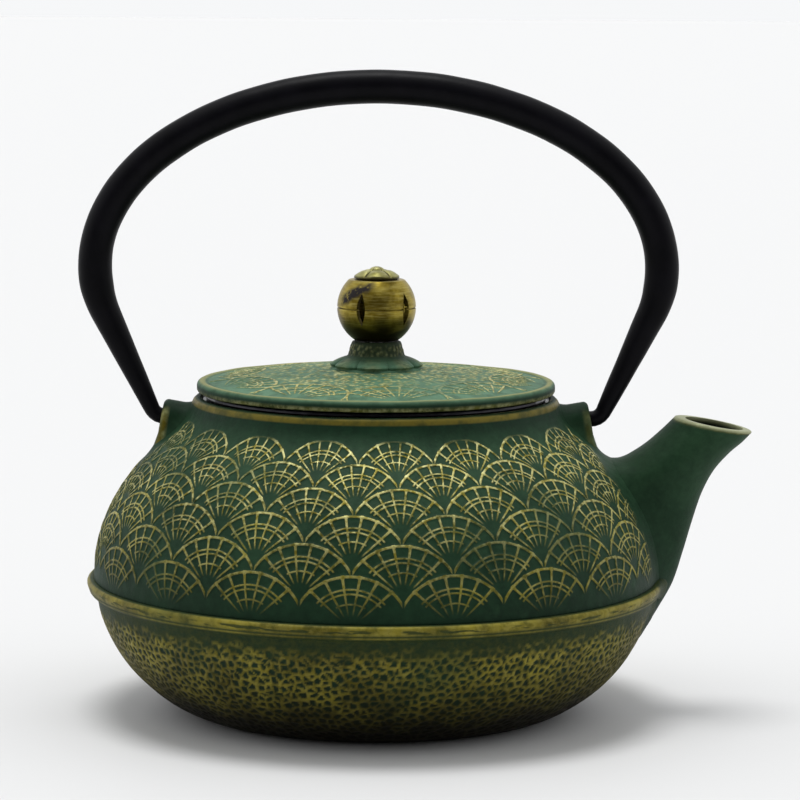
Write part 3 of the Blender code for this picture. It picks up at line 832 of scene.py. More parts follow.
# ---- pot
def cavity_profile():
    """Inside of the pot from the mouth's ledge down to the floor, spacing suited to smooth enamel."""
    z_up = np.linspace(SHOULDER_Z - 3.0, 38.0, 16)
    z_low = np.linspace(36.0, 8.5, 12)
    upper = [(LEDGE_RADIUS, LEDGE_Z), (BORE_RADIUS + 0.5, LEDGE_Z), (BORE_RADIUS, LEDGE_Z - 0.5)]
    upper += [(BORE_RADIUS, 85.5), (BORE_RADIUS + 1.2, 82.8)]
    upper += [(upper_wall_radius(SHOULDER_Z - 1.0) - WALL - 1.6, SHOULDER_Z - 1.0)]
    upper += [(upper_wall_radius(z) - WALL, z) for z in z_up]
    lower = [(lower_wall_radius(z) - WALL, z) for z in z_low]
    lower += [(54.0, 5.0), (46.0, FLOOR_Z), (25.0, FLOOR_Z), (0.4, FLOOR_Z)]
    return np.array(upper), np.array(lower)


def upper_outline():
    """Outside of the wall from inside the flange up to the mouth, and where each point lies up the wall."""
    z = np.linspace(FLANGE_TOP_Z, SHOULDER_Z, 80)
    wall = np.stack([upper_wall_radius(z), z], 1)
    curve = np.vstack([wall, neck_points(24)[1:]])
    lip = arc((MOUTH_RADIUS - 1.5, MOUTH_TOP_Z - 1.5), 1.5, 0.0, 90.0, 5)
    return np.vstack([curve, lip[1:]])


def add_outer_attribute(obj, name, values, rest=0.0):
    """Attribute given for the outer rows of a turned piece, with one value for all the others."""
    whole = np.full(len(obj.data.vertices), rest)
    whole[:len(values)] = values
    add_attribute(obj, name, whole)


def build_upper_wall(fan_iron, enamel, spout, lugs):
    """Wall above the flange, with its fans raised in the mesh."""
    segments = WALL_SEGMENTS
    outside = resample(upper_outline(), WALL_SPACING)
    along = path_length(outside)
    rim = [(LEDGE_RADIUS + 0.5, MOUTH_TOP_Z), (LEDGE_RADIUS, MOUTH_TOP_Z - 0.5)]
    foot = [(76.0, SPLIT_Z), (80.6, SPLIT_Z)]
    profile = np.vstack([outside, rim, resample(cavity_profile()[0], INSIDE_SPACING), foot])
    shape = (len(outside), segments)
    grid = turn_grid(outside, segments).reshape(-1, 3)
    lines = wall_fans(np.arange(segments)[None, :] / segments, along[:, None], RELIEF_SOFT)
    plain = plain_share(grid, spout, lugs)
    cast = (wavy(grid, 30.0, SEED_CAST_BROAD) * 0.10 + wavy(grid, 6.0, SEED_CAST_FINE) * 0.035).reshape(shape)
    relief = np.zeros((len(profile), segments))
    fans = lines * (1.0 - plain.reshape(shape)) * FAN_RELIEF
    relief[:len(outside)] = fans + cast * ramp(0.0, 3.0, along)[:, None]
    row_slots = (np.arange(len(profile)) > len(outside)).astype(int)
    upper = turned("pot_wall_upper", profile, segments, True, (fan_iron, enamel), relief, row_slots)
    add_outer_attribute(upper, "along", np.repeat(along, segments))
    add_outer_attribute(upper, "plain", plain, 1.0)
    lip = line(along - (along[-1] - 1.9), 0.65, 0.5)
    add_outer_attribute(upper, "gild", np.repeat(lip, segments))
    blend_towards(upper, spout, SPOUT_FILLET)
    for lug in lugs:
        blend_towards(upper, lug, LUG_FILLET)
    face_outward(upper)
    return upper


def lower_wall_profile():
    """Outline from the middle of the base up the outside to the flange and down inside; outer rows."""
    flange = [(80.6, SPLIT_Z + 0.5), (81.2, FLANGE_TOP_Z), (81.9, FLANGE_TOP_Z - 0.05)]
    bead = arc((FLANGE_RADIUS - 1.25, FLANGE_TOP_Z - 1.3), 1.25, 85.0, -20.0, 7)
    step = [(82.6, 35.9), (82.45, 35.5), (82.2, 34.9)]
    step += [(81.6, FLANGE_LOW_Z + 0.05), (81.0, FLANGE_LOW_Z - 0.1)]
    z = np.linspace(FLANGE_LOW_Z - 0.4, 0.8, 60)
    below = np.stack([lower_wall_radius(z), z], 1)
    base = [(BASE_RADIUS - 1.5, 0.0), (40.0, 0.0), (20.0, 0.0), (0.4, 0.0)]
    outer = np.vstack([resample(np.vstack([flange, bead, step, below]), CRACKLE_SPACING), base])
    inner = resample(cavity_profile()[1][::-1], INSIDE_SPACING)[:-1]
    inner = np.vstack([inner, [(lower_wall_radius(36.5) - WALL, SPLIT_Z + 0.5)]])
    return np.vstack([inner, outer])[::-1], len(outer)


def crackle_web(points):
    """Raised network between random cells, fading out below the flange and under the foot."""
    seeds = seeded_points(CRACKLE_CELL, SEED_CRACKLE, 1.0, 34.5, lower_wall_radius)
    nearest, border = cell_edges(points, seeds)
    ragged = wavy(points, 3.2, SEED_CRACKLE_EDGE) * 0.22
    web = np.maximum(ramp(0.52, 0.24, border + ragged), ramp(1.30, 1.65, nearest + ragged))
    return web * (ramp(31.5, 27.5, points[:, 2] + ragged * 6.0) * ramp(0.0, 2.0, points[:, 2]))


def build_lower_wall(crackle_iron, enamel, spout):
    """Flange, crackled wall and base."""
    segments = CRACKLE_SEGMENTS
    profile, outer_rows = lower_wall_profile()
    outer = turn_grid(profile, segments).reshape(-1, 3)[:outer_rows * segments]
    z = outer[:, 2]
    radius = np.hypot(outer[:, 0], outer[:, 1])
    web = crackle_web(outer)
    band = ramp(82.0, 82.5, radius) * ramp(35.7, 36.2, z)
    # Painted highlight: a thin gold line along the step under the flange.
    edge_highlight = line(z - 35.05, 0.20, 0.25) * ramp(81.9, 82.1, radius)
    cast = wavy(outer, 18.0, SEED_CAST_LOW) * 0.08
    push = np.zeros(len(profile) * segments)
    push[:len(outer)] = (web * CRACKLE_RELIEF * ramp(0.5, 3.0, z)
                         + cast * ramp(0.5, 3.0, z) * ramp(34.3, 33.0, z))
    row_slots = (np.arange(len(profile)) >= outer_rows).astype(int)
    lower = turned("pot_wall_lower", profile, segments, False, (crackle_iron, enamel),
                   push.reshape(len(profile), segments), row_slots)
    bare = 1.0 - plain_share(outer, spout, [])
    add_outer_attribute(lower, "gild", web * bare)
    add_outer_attribute(lower, "rim", np.maximum(band, edge_highlight * 0.7) * bare)
    face_outward(lower)
    blend_towards(lower, spout, SPOUT_FILLET)
    return lower


def tree_of(obj):
    return BVHTree.FromObject(obj, bpy.context.evaluated_depsgraph_get())


def distances(points, tree, reach, near):
    """Distance in millimetres from each point to a surface, for the points picked out by near."""
    out = np.full(len(points), reach)
    for i in np.flatnonzero(near):
        found = tree.find_nearest(Vector(points[i] * MM), reach * MM)
        if found[3] is not None:
            out[i] = found[3] / MM
    return out


def close_to(points, obj, reach):
    """Which points lie within reach of an object's box."""
    box = coordinates(obj)
    return np.all((points > box.min(0) - reach) & (points < box.max(0) + reach), axis=1)


def plain_share(points, spout, lugs):
    """1 where the wall is left plain beside the spout and the lugs, 0 where it is patterned."""
    share = np.zeros(len(points))
    for obj, start, end in [(spout, 6.5, 10.5)] + [(lug, 3.0, 5.0) for lug in lugs]:
        gap = distances(points, tree_of(obj), end, close_to(points, obj, end))
        share = np.maximum(share, ramp(end, start, gap))
    return share


def blend_towards(obj, other, reach):
    """Swell a surface where it comes within reach of another, as a cast fillet does."""
    points = coordinates(obj)
    gap = distances(points, tree_of(other), reach, close_to(points, other, reach))
    swell = ramp(reach, 0.0, gap) ** 2 * reach / 4.0
    outside = np.linalg.norm(points[:, :2], axis=1) > wall_radius(points[:, 2]) - 1.2
    set_coordinates(obj, points + vertex_normals(obj) * (swell * outside)[:, None])


def wall_radius(z):
    """Radius of the bare outer wall at a height."""
    below = np.linspace(0.0, BELLY_Z, 60)
    above = np.linspace(BELLY_Z, SHOULDER_Z, 60)[1:]
    neck = neck_points(40)[1:]
    radii = np.concatenate([lower_wall_radius(below), upper_wall_radius(above), neck[:, 0]])
    return np.interp(z, np.concatenate([below, above, neck[:, 1]]), radii)


def swell_off_wall(obj, reach):
    """Swell a spout or a lug near the wall, to meet the wall's own fillet."""
    points = coordinates(obj)
    radius = np.linalg.norm(points[:, :2], axis=1)
    step = 0.5
    tilt = (wall_radius(points[:, 2] + step) - wall_radius(points[:, 2] - step)) / (2 * step)
    gap = np.maximum((radius - wall_radius(points[:, 2])) / np.sqrt(1.0 + tilt ** 2), 0.0)
    swell = ramp(reach, 0.0, gap) ** 2 * reach / 4.0
    set_coordinates(obj, points + vertex_normals(obj) * swell[:, None])


def spout_form(iron):
    flat = np.array([[*upper, *lower, half] for upper, lower, half in SPOUT_SECTIONS])
    rings = []
    for ux, uz, lx, lz, half in smooth_curve(flat, 9):
        span = np.array((lx - ux, lz - uz))
        length = np.linalg.norm(span)
        rings.append(section(((ux + lx) / 2, (uz + lz) / 2), length / 2, half, span / length, SPOUT_SIDES))
    lip = rings[-1]
    centre = lip.mean(0)
    facing = np.array((0.19, 0.0, 0.98))
    for share, rise in ((0.985, 0.28), (0.955, 0.42), (0.92, 0.46)):
        rings.append(centre + (lip - centre) * share + facing * rise)
    return loft("pot_spout", rings, (iron,))


def channel_form():
    flat = np.array([[x, z, facing, length, width] for (x, z), facing, length, width in CHANNEL_SECTIONS])
    rings = []
    for x, z, facing, length, width in smooth_curve(flat, 5):
        turn = math.radians(facing - 90.0)
        rings.append(section((x, z), length, width, (math.cos(turn), math.sin(turn)), CHANNEL_SIDES))
    return loft("channel_form", rings)


def lug_form(name, side, iron):
    """Block with an arched top and a flat end face with rounded edges, leaning out towards its foot."""
    top = arc((0.0, PIVOT_Z), LUG_HALF_WIDTH, 0.0, 180.0, 28)
    top[:, 1] = PIVOT_Z + (top[:, 1] - PIVOT_Z) * LUG_TOP_SQUASH
    foot = np.array([(-LUG_HALF_WIDTH, z) for z in np.linspace(PIVOT_Z - 1.0, LUG_FOOT_Z, 14)])
    under = np.array([(y, LUG_FOOT_Z) for y in np.linspace(-LUG_HALF_WIDTH + 1.0, LUG_HALF_WIDTH - 1.0, 8)])
    outline = np.vstack([top, foot, under, (foot * (-1.0, 1.0))[::-1]])
    middle = np.array((0.0, (PIVOT_Z + LUG_FOOT_Z) / 2))
    rings = []
    for x in np.linspace(LUG_INNER_X, LUG_FACE_X - LUG_ROUNDING, 24):
        rings.append(lug_ring(outline, x, side, x - LUG_FACE_X))
    for angle in np.radians(np.linspace(15.0, 90.0, 6)):
        inset = LUG_ROUNDING * (1.0 - math.cos(angle))
        depth = LUG_ROUNDING * (math.sin(angle) - 1.0)
        shrink = 1.0 - inset / LUG_HALF_WIDTH
        smaller = middle + (outline - middle) * (shrink, 1.0 - inset / 12.0)
        rings.append(lug_ring(smaller, LUG_FACE_X + depth, side, depth))
    return loft(name, rings, (iron,))


def lug_ring(outline, x, side, behind_face):
    lean = (PIVOT_Z - outline[:, 1]) * LUG_FACE_SLANT * np.clip(1.0 + behind_face / 14.0, 0.0, 1.0)
    sag = 1.0 + np.minimum(behind_face, 0.0) * 0.009
    z = LUG_FOOT_Z + (outline[:, 1] - LUG_FOOT_Z) * sag
    return np.stack([side * (x + lean), outline[:, 0], z], 1)


def pin_hole_form(side):
    circle = arc((0.0, PIVOT_Z), PIN_HOLE_RADIUS, 0.0, 360.0, PIN_HOLE_SIDES)[:-1]
    rings = [np.stack([np.full(len(circle), side * x), circle[:, 0], circle[:, 1]], 1)
             for x in (PIN_HOLE_END_X, LUG_FACE_X + 8.0)]
    return loft("pin_hole_form", rings)


def cavity_form():
    """Low, simple copy of the pot's hollow, grown so that what it cuts ends inside the wall."""
    upper, lower = cavity_profile()
    outline = np.vstack([upper[3:], lower])
    outline[:, 0] += CAVITY_GROW
    top = [(BORE_RADIUS + CAVITY_GROW, 120.0), (0.5, 120.0)]
    rings = turn_grid(np.vstack([top[::-1], outline]), 96)
    return loft("cavity_form", rings)


def finish_spout(spout, channel):
    swell_off_wall(spout, SPOUT_FILLET)
    cavity = cavity_form()
    cut_away(spout, cavity)
    cut_away(spout, channel)
    discard(cavity)
    points = coordinates(spout)
    height = mouth_height(points)
    add_attribute(spout, "gild", ramp(-0.60, -0.15, height))
    add_attribute(spout, "worn_rim", ramp(-0.30, -0.05, height))
    on_bore = distances(points, tree_of(channel), 0.02, np.ones(len(points))) < 0.02
    add_attribute(spout, "bore", on_bore * ramp(-0.02, -0.4, height))
    spout.data.set_sharp_from_angle(angle=math.radians(50.0))


def mouth_height(points):
    """Height of a point above the plane of the spout's mouth."""
    upper, lower, _ = SPOUT_SECTIONS[-1]
    slope = (lower[1] - upper[1]) / (lower[0] - upper[0])
    return points[:, 2] - (upper[1] + slope * (points[:, 0] - upper[0]))


def finish_lug(lug, side):
    swell_off_wall(lug, LUG_FILLET)
    cavity = cavity_form()
    hole = pin_hole_form(side)
    cut_away(lug, cavity)
    cut_away(lug, hole)
    discard(cavity, hole)
    points = coordinates(lug)
    face = LUG_FACE_X + (PIVOT_Z - points[:, 2]) * LUG_FACE_SLANT
    edge = line(np.abs(points[:, 0]) - (face - 0.8), 0.8, 0.8) * ramp(3.2, 4.4, np.abs(points[:, 1]))
    low = ramp(88.0, 86.0, points[:, 2])
    add_attribute(lug, "gild", edge * low * (1.0 if side < 0 else 0.35))


def build_pot():
    iron = plain_iron_material("spout_iron", 0.02)
    lug_iron = plain_iron_material("lug_iron", 0.03)
    enamel = enamel_material()
    spout = spout_form(iron)
    lugs = [lug_form("pot_lug_spout_side", 1, lug_iron), lug_form("pot_lug_far_side", -1, lug_iron)]
    channel = channel_form()
    channel.data.materials.append(enamel)
    upper = build_upper_wall(wall_material(), enamel, spout, lugs)
    lower = build_lower_wall(crackle_material(), enamel, spout)
    cut_away(upper, channel)
    finish_spout(spout, channel)
    for lug, side in zip(lugs, (1, -1)):
        finish_lug(lug, side)
    discard(channel)
    for piece in (upper, lower, spout, *lugs):
        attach(piece, "pot")
        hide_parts("pot_body")


# ---- bail
def bail_path():
    corner_x = BAIL_HALF_SPAN - BAIL_SIDE_ARC * (1 - math.cos(BAIL_SLANT))
    corner_z = BAIL_WIDE_Z - BAIL_SIDE_ARC * math.sin(BAIL_SLANT)
    corner_x -= (corner_z - PIVOT_Z) * math.tan(BAIL_SLANT)
    reach = BAIL_BEND * math.tan((math.pi / 2 - BAIL_SLANT) / 2)
    bend = arc((corner_x - reach, PIVOT_Z + BAIL_BEND), BAIL_BEND, -90.0, -math.degrees(BAIL_SLANT), 12)
    side_centre = (BAIL_HALF_SPAN - BAIL_SIDE_ARC, BAIL_WIDE_Z)
    side = arc(side_centre, BAIL_SIDE_ARC, -math.degrees(BAIL_SLANT), 0.0, 16)
    turn = np.radians(np.linspace(1.5, 90.0, 70))
    arch = np.stack([BAIL_HALF_SPAN * np.cos(turn),
                     BAIL_WIDE_Z + (BAIL_TOP_Z - BAIL_WIDE_Z) * np.sin(turn)], 1)
    half = np.vstack([[(BAIL_TIP_X, PIVOT_Z)], bend, side, arch])
    return resample(np.vstack([half, (half * (-1.0, 1.0))[-2::-1]]), 1.1)


def bail_radius(z):
    share = np.clip((z - PIVOT_Z - 1.6) / (BAIL_TAPER_TOP_Z - PIVOT_Z - 1.6), 0.0, 1.0)
    return BAIL_TIP_RADIUS + (BAIL_TUBE_RADIUS - BAIL_TIP_RADIUS) * share


def build_bail():
    path = bail_path()
    tangent = np.gradient(path, axis=0)
    tangent /= np.linalg.norm(tangent, axis=1)[:, None]
    radius = bail_radius(path[:, 1])
    rings = [section(p, r, r, (-t[1], t[0]), BAIL_SIDES) for p, t, r in zip(path, tangent, radius)]
    first, last = rings[0], rings[-1]
    ends = [(0.93, 0.25), (0.75, 0.5)]
    head = [first.mean(0) + (first - first.mean(0)) * s + np.array((-d, 0, 0)) for s, d in ends[::-1]]
    tail = [last.mean(0) + (last - last.mean(0)) * s + np.array((d, 0, 0)) for s, d in ends]
    bail = loft("bail_tube", head + rings + tail, (bail_material(),))
    points = coordinates(bail)
    uneven = vertex_normals(bail) * (wavy(points, 14.0, SEED_CAST_BAIL) * 0.05)[:, None]
    set_coordinates(bail, points + uneven + (BAIL_PLAY, 0.0, 0.0))
    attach(bail, "bail")
    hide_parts("bail_handle")


# ---- lid
def dome_z(radius):
    rise = LID_DOME_Z - LID_DOME_EDGE[1]
    sphere = (LID_DOME_EDGE[0] ** 2 + rise ** 2) / (2 * rise)
    return LID_DOME_Z - sphere + np.sqrt(sphere ** 2 - radius ** 2)


def lid_profile(spacing):
    """Outline from the skirt's foot up round the rim and over the dome to the collar, then down inside."""
    under_rim = [(LID_SKIRT_RADIUS - 0.3, LID_SKIRT_LOW_Z), (LID_SKIRT_RADIUS, LID_LOW_Z - 0.6)]
    under_rim += [(LID_SKIRT_RADIUS + 0.9, LID_LOW_Z), (LID_RADIUS - 0.9, LID_LOW_Z)]
    side = np.vstack([arc((LID_RADIUS - 0.7, LID_LOW_Z + 0.7), 0.7, -80.0, 0.0, 4),
                      arc((LID_RADIUS - 1.35, LID_RIM_Z - 1.3), 1.35, 0.0, 110.0, 8)])
    groove = np.array([(49.2, LID_RIM_Z - 0.12), (48.9, dome_z(48.9) + 0.02), (48.4, dome_z(48.4) - 0.05)])
    radii = np.linspace(48.0, BOSS_RADIUS - 0.4, 60)
    dome = np.stack([radii, dome_z(radii)], 1)
    boss = np.array([(BOSS_RADIUS - 0.5, BOSS_EDGE_Z - 0.7), (BOSS_RADIUS - 0.1, BOSS_EDGE_Z - 0.3),
                     (BOSS_RADIUS, BOSS_EDGE_Z), (BOSS_RADIUS - 0.25, BOSS_EDGE_Z + 0.3),
                     (BOSS_RADIUS - 1.2, BOSS_EDGE_Z + 0.9), (11.0, 101.4), (9.8, 101.85), (8.9, 102.1),
                     (8.4, 102.3)])
    collar = np.array([(COLLAR_LOW_RADIUS, 102.8), (7.6, 104.4), (COLLAR_TOP_RADIUS + 0.05, 105.9)])
    crown = arc((COLLAR_TOP_RADIUS - 0.6, COLLAR_TOP_Z - 0.6), 0.6, 10.0, 90.0, 4)
    fine = resample(np.vstack([side, groove, dome, boss, collar, crown]), spacing)
    inner = [(6.2, COLLAR_TOP_Z - 0.1), (5.6, COLLAR_TOP_Z - 0.5), (STUD_HOLE_RADIUS, COLLAR_TOP_Z - 0.5)]
    inner += [(STUD_HOLE_RADIUS, LID_DOME_Z - LID_WALL - 0.4), (7.0, LID_DOME_Z - LID_WALL - 0.4)]
    inner += [(r, dome_z(r) - LID_WALL) for r in (12.0, 20.0, 28.0, 36.0)]
    skirt = LID_SKIRT_RADIUS - LID_SKIRT_WALL
    inner += [(skirt - 0.6, LID_LOW_Z - 0.3), (skirt - 0.1, 89.0), (skirt, LID_SKIRT_LOW_Z + 0.3)]
    inner += [(skirt + 0.3, LID_SKIRT_LOW_Z)]
    return np.vstack([under_rim, fine, inner]), len(under_rim), len(under_rim) + len(fine)


def lid_zones(profile, first, last):
    """Which rows of the outline are finely spaced, and which are on the dome, the boss and the collar."""
    radius, z = profile.T
    row = np.arange(len(profile))
    fine = (row >= first) & (row < last)
    on_dome = fine & (radius < 48.2) & (radius > BOSS_RADIUS - 0.2) & (z < BOSS_EDGE_Z - 0.3)
    on_boss = fine & (radius <= BOSS_RADIUS + 0.1) & (z > BOSS_EDGE_Z - 0.8)
    on_collar = fine & (radius < COLLAR_LOW_RADIUS + 0.2) & (z > BOSS_TOP_Z)
    return fine, on_dome, on_boss, on_collar


def lid_specks(points):
    """Small raised specks scattered over the dome."""
    random = np.random.default_rng(SEED_SPECKS)
    spots = random.uniform(-40.0, 40.0, (SPECKS, 2))
    spots = spots[np.linalg.norm(spots, axis=1) < 39.0]
    spots = np.column_stack([spots, dome_z(np.linalg.norm(spots, axis=1))])
    ragged = wavy(points, 2.6, SEED_SPECK_EDGE) * 0.2
    return ramp(0.76, 0.32, cell_edges(points, spots)[0] + ragged)


def lid_pocks(points):
    """Rough spots round the collar."""
    dots = seeded_points(1.3, SEED_POCKS, BOSS_TOP_Z, COLLAR_TOP_Z, lambda z: 7.6 + z * 0.0)
    return ramp(0.75, 0.30, cell_edges(points, dots)[0])


def build_lid():
    profile, first, last = lid_profile(LID_SPACING)
    fine, on_dome, on_boss, on_collar = lid_zones(profile, first, last)
    radius, z = profile.T
    turn = np.arange(LID_SEGMENTS)[None, :] / LID_SEGMENTS
    points = turn_grid(profile, LID_SEGMENTS).reshape(-1, 3)
    shape = (len(profile), LID_SEGMENTS)
    fans = lid_fans(turn, np.broadcast_to(radius[:, None], shape), RELIEF_SOFT) * on_dome[:, None]
    specks = lid_specks(points).reshape(shape) * fan_free(turn, radius) * on_dome[:, None]
    pocks = lid_pocks(points).reshape(shape) * on_collar[:, None]
    cast = wavy(points, 16.0, SEED_CAST_LID).reshape(shape) * 0.06 * fine[:, None]
    relief = fans * LID_FAN_RELIEF + specks * SPECK_RELIEF + pocks * POCK_RELIEF + cast
    angle = 2 * np.pi * turn
    wave = np.abs(np.cos(PETALS / 2 * angle + PETAL_TURN))
    reach = np.clip((radius - 8.6) / (BOSS_RADIUS - 8.6), 0.0, 1.0)[:, None] * on_boss[:, None]
    crease = np.exp(-((1.0 - wave ** 0.6) / 0.5 - 1.9) ** 2 * 4.0) * PETAL_CREASE * reach
    lid = turned("lid_casting", profile, LID_SEGMENTS, True, (lid_material(),), relief - crease)
    moved = coordinates(lid).reshape(*shape, 3)
    moved[..., :2] *= (1.0 - PETAL_TRIM * reach * (1.0 - wave ** 0.6))[..., None]
    set_coordinates(lid, moved.reshape(-1, 3))
    edge = line(radius - 49.9, 0.55, 0.5) * ramp(LID_RIM_Z - 0.7, LID_RIM_Z - 0.3, z) * fine
    foot = line(z - (LID_LOW_Z + 0.5), 0.35, 0.3) * ramp(50.6, 51.0, radius) * fine
    petal_gold = (on_boss & (z < BOSS_TOP_Z))[:, None] * ramp(0.55, 0.95, wave) * 0.18
    gild = reduce(np.maximum, (specks * 0.8, pocks * 0.9, (foot * 0.30)[:, None], petal_gold))
    add_attribute(lid, "gild", gild.ravel())
    # Top of the rim: lightened as painted light in the lid material.
    rim = ramp(LID_RIM_Z - 1.4, LID_RIM_Z - 0.2, z) * fine * 0.8
    for name, values in (("edge", edge), ("dome", on_dome * 1.0), ("rim", rim)):
        add_attribute(lid, name, np.repeat(values, LID_SEGMENTS))
    face_outward(lid)
    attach(lid, "lid")
    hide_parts("lid")


def fan_free(turn, radius):
    """1 on the middle of the lid, 0 where the ring of fans covers it."""
    place = turn * LID_FANS + LID_FAN_PHASE
    x = (place - np.floor(place) - 0.5) * radius[:, None] * (2 * math.pi / LID_FANS)
    d = np.sqrt(x ** 2 + (LID_FAN_ROOT - radius[:, None]) ** 2)
    return ramp(LID_FAN_RADIUS, LID_FAN_RADIUS + 0.8, d) * ramp(41.0, 37.0, radius)[:, None]


# ---- knob
def ball_arc(radius, low_z, high_z, steps):
    start = math.degrees(math.asin((low_z - BALL_Z) / radius))
    end = math.degrees(math.asin((high_z - BALL_Z) / radius))
    return arc((0.0, BALL_Z), radius, start, end, steps)


def half_ball(name, low_z, high_z, is_upper, gold):
    inner = BALL_RADIUS - BALL_WALL
    low_in = low_z if is_upper else low_z + BALL_WALL
    high_in = high_z - BALL_WALL if is_upper else high_z
    outside = ball_arc(BALL_RADIUS, low_z + 0.12, high_z - 0.12, 44)
    inside = ball_arc(inner, low_in, high_in, 20)[::-1]
    if is_upper:
        top = [(outside[-1][0] - 0.25, high_z), (STUD_HOLE_RADIUS, high_z), (STUD_HOLE_RADIUS, high_in)]
        rebate = [(inner, low_z + 0.65), (inner + 0.85, low_z + 0.65), (inner + 0.85, low_z)]
        inside = inside[inside[:, 1] > low_z + 0.8]
        profile = np.vstack([outside, top, inside, rebate, [(outside[0][0] - 0.12, low_z)]])
    else:
        foot = [(STUD_HOLE_RADIUS, low_in), (STUD_HOLE_RADIUS, low_z), (outside[0][0] - 0.25, low_z)]
        lip = [(outside[-1][0] - 0.12, high_z), (inner + 0.7, high_z), (inner + 0.7, high_z + 0.6)]
        profile = np.vstack([outside, lip, [(inner - 0.05, high_z + 0.6)], inside, foot])
    shell = turned(name, profile, BALL_SEGMENTS, True, (gold,), None, None, 35.0)
    face_outward(shell)
    return shell


def slot_form(index):
    angle = SLOT_FIRST_ANGLE + index * 2 * math.pi / SLOT_COUNT
    across = np.array((-math.sin(angle), math.cos(angle), 0.0))
    outward = np.array((math.cos(angle), math.sin(angle), 0.0))
    t = np.linspace(-1.0, 1.0, 25)
    right = np.stack([SLOT_HALF_WIDTH * (1 - t ** 2), SLOT_HALF_HEIGHT * t], 1)
    outline = np.vstack([right, (right * (-1.0, 1.0))[-2:0:-1]])
    rings = []
    for reach, grow in ((BALL_RADIUS - 3.4, 1.0), (BALL_RADIUS - 0.7, 1.0), (BALL_RADIUS + 0.6, 1.35)):
        taller = 1 + (grow - 1) * 0.3
        rings.append([outward * reach + across * w * grow + np.array((0, 0, BALL_Z + h * taller))
                      for w, h in outline])
    return loft("slot_form", rings)


def age_knob(piece):
    """Where the knob is scuffed, and where shade is painted on it."""
    points = coordinates(piece)
    offset = points - np.array((0.0, 0.0, BALL_Z))
    heading = np.arctan2(offset[:, 0], -offset[:, 1])
    height = offset[:, 2]
    track = 2.8 + 4.6 * (heading + 1.03)
    width = 2.8 - 1.2 * (heading + 1.03)
    across = np.abs(height - track) + wavy(points, 4.0, SEED_SCUFF) * 0.4
    scuff = ramp(width, width * 0.45, across) * ramp(-1.18, -0.98, heading) * ramp(0.04, -0.25, heading)
    add_attribute(piece, "scuff", scuff * (height > 0.5))
    # Painted shade: in the crevice under the cap, in the creases between the cap's petals, and over the lower
    # part of the ball.
    under_cap = ramp(BALL_CUT_Z + 0.95, BALL_CUT_Z + 0.75, points[:, 2]) * (points[:, 2] > BALL_CUT_Z + 0.1)
    angle = np.arctan2(points[:, 1], points[:, 0])
    vein = ramp(0.30, 0.05, np.abs(np.cos(CAP_PETALS / 2 * angle + CAP_TURN)))
    vein *= (points[:, 2] > BALL_CUT_Z + 0.9) * 0.75
    low = ramp(-1.0, -6.5, height + wavy(points, 6.0, SEED_SHADE) * 1.2) * 0.97
    add_attribute(piece, "painted_shade", np.maximum(under_cap, vein) + low)


def build_knob():
    gold = knob_material("aged_gold", *KNOB_TONES)
    pale = knob_material("pale_gold", *CAP_TONES)
    lower = half_ball("knob_lower_shell", COLLAR_TOP_Z + GAP, BALL_Z - SEAM, False, gold)
    upper = half_ball("knob_upper_shell", BALL_Z + SEAM, BALL_CUT_Z, True, gold)
    for index in range(SLOT_COUNT):
        cutter = slot_form(index)
        cut_away(lower, cutter)
        cut_away(upper, cutter)
        discard(cutter)
    for piece, node in ((lower, "knob_lower_half"), (upper, "knob_upper_half"), (rosette(pale), "knob_cap")):
        piece.data.set_sharp_from_angle(angle=math.radians(35.0))
        age_knob(piece)
        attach(piece, "lid")
        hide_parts(node)


def rosette(gold):
    """Five-petalled flower with a domed heart, on a short neck."""
    base = BALL_CUT_Z + GAP
    shelf = base + 0.7
    radii = np.linspace(1.0, 0.03, 34)
    angle = 2 * np.pi * np.arange(CAP_SEGMENTS) / CAP_SEGMENTS
    petal = np.abs(np.cos(CAP_PETALS / 2 * angle + CAP_TURN))
    edge = CAP_RADIUS * (0.90 + 0.10 * petal ** 0.5)
    rows = []
    for z, radius in ((base + 1.9, STUD_HOLE_RADIUS), (base, STUD_HOLE_RADIUS), (base, CAP_NECK_RADIUS - 0.3),
                      (base + 0.15, CAP_NECK_RADIUS - 0.1), (base + 0.5, CAP_NECK_RADIUS - 0.1)):
        rows.append(around(radius, angle, z))
    for share in radii:
        dome = shelf + 0.25 + 1.75 * (1.0 - share ** 1.8)
        vein = np.exp(-((petal * share * CAP_RADIUS) / 0.55) ** 2) * 0.40 * (share > 0.36)
        plump = 0.38 * np.sin(np.pi * np.clip((share - 0.36) / 0.6, 0.0, 1.0)) * petal ** 0.7
        heart = 0.75 * np.clip(1.0 - (share / 0.34) ** 2, 0.0, 1.0) ** 0.5
        ring = -0.18 * math.exp(-((share - 0.37) / 0.04) ** 2)
        rows.append(around(edge * share, angle, dome - vein + plump + heart + ring))
    return loft("knob_rosette", rows, (gold,), 60.0)


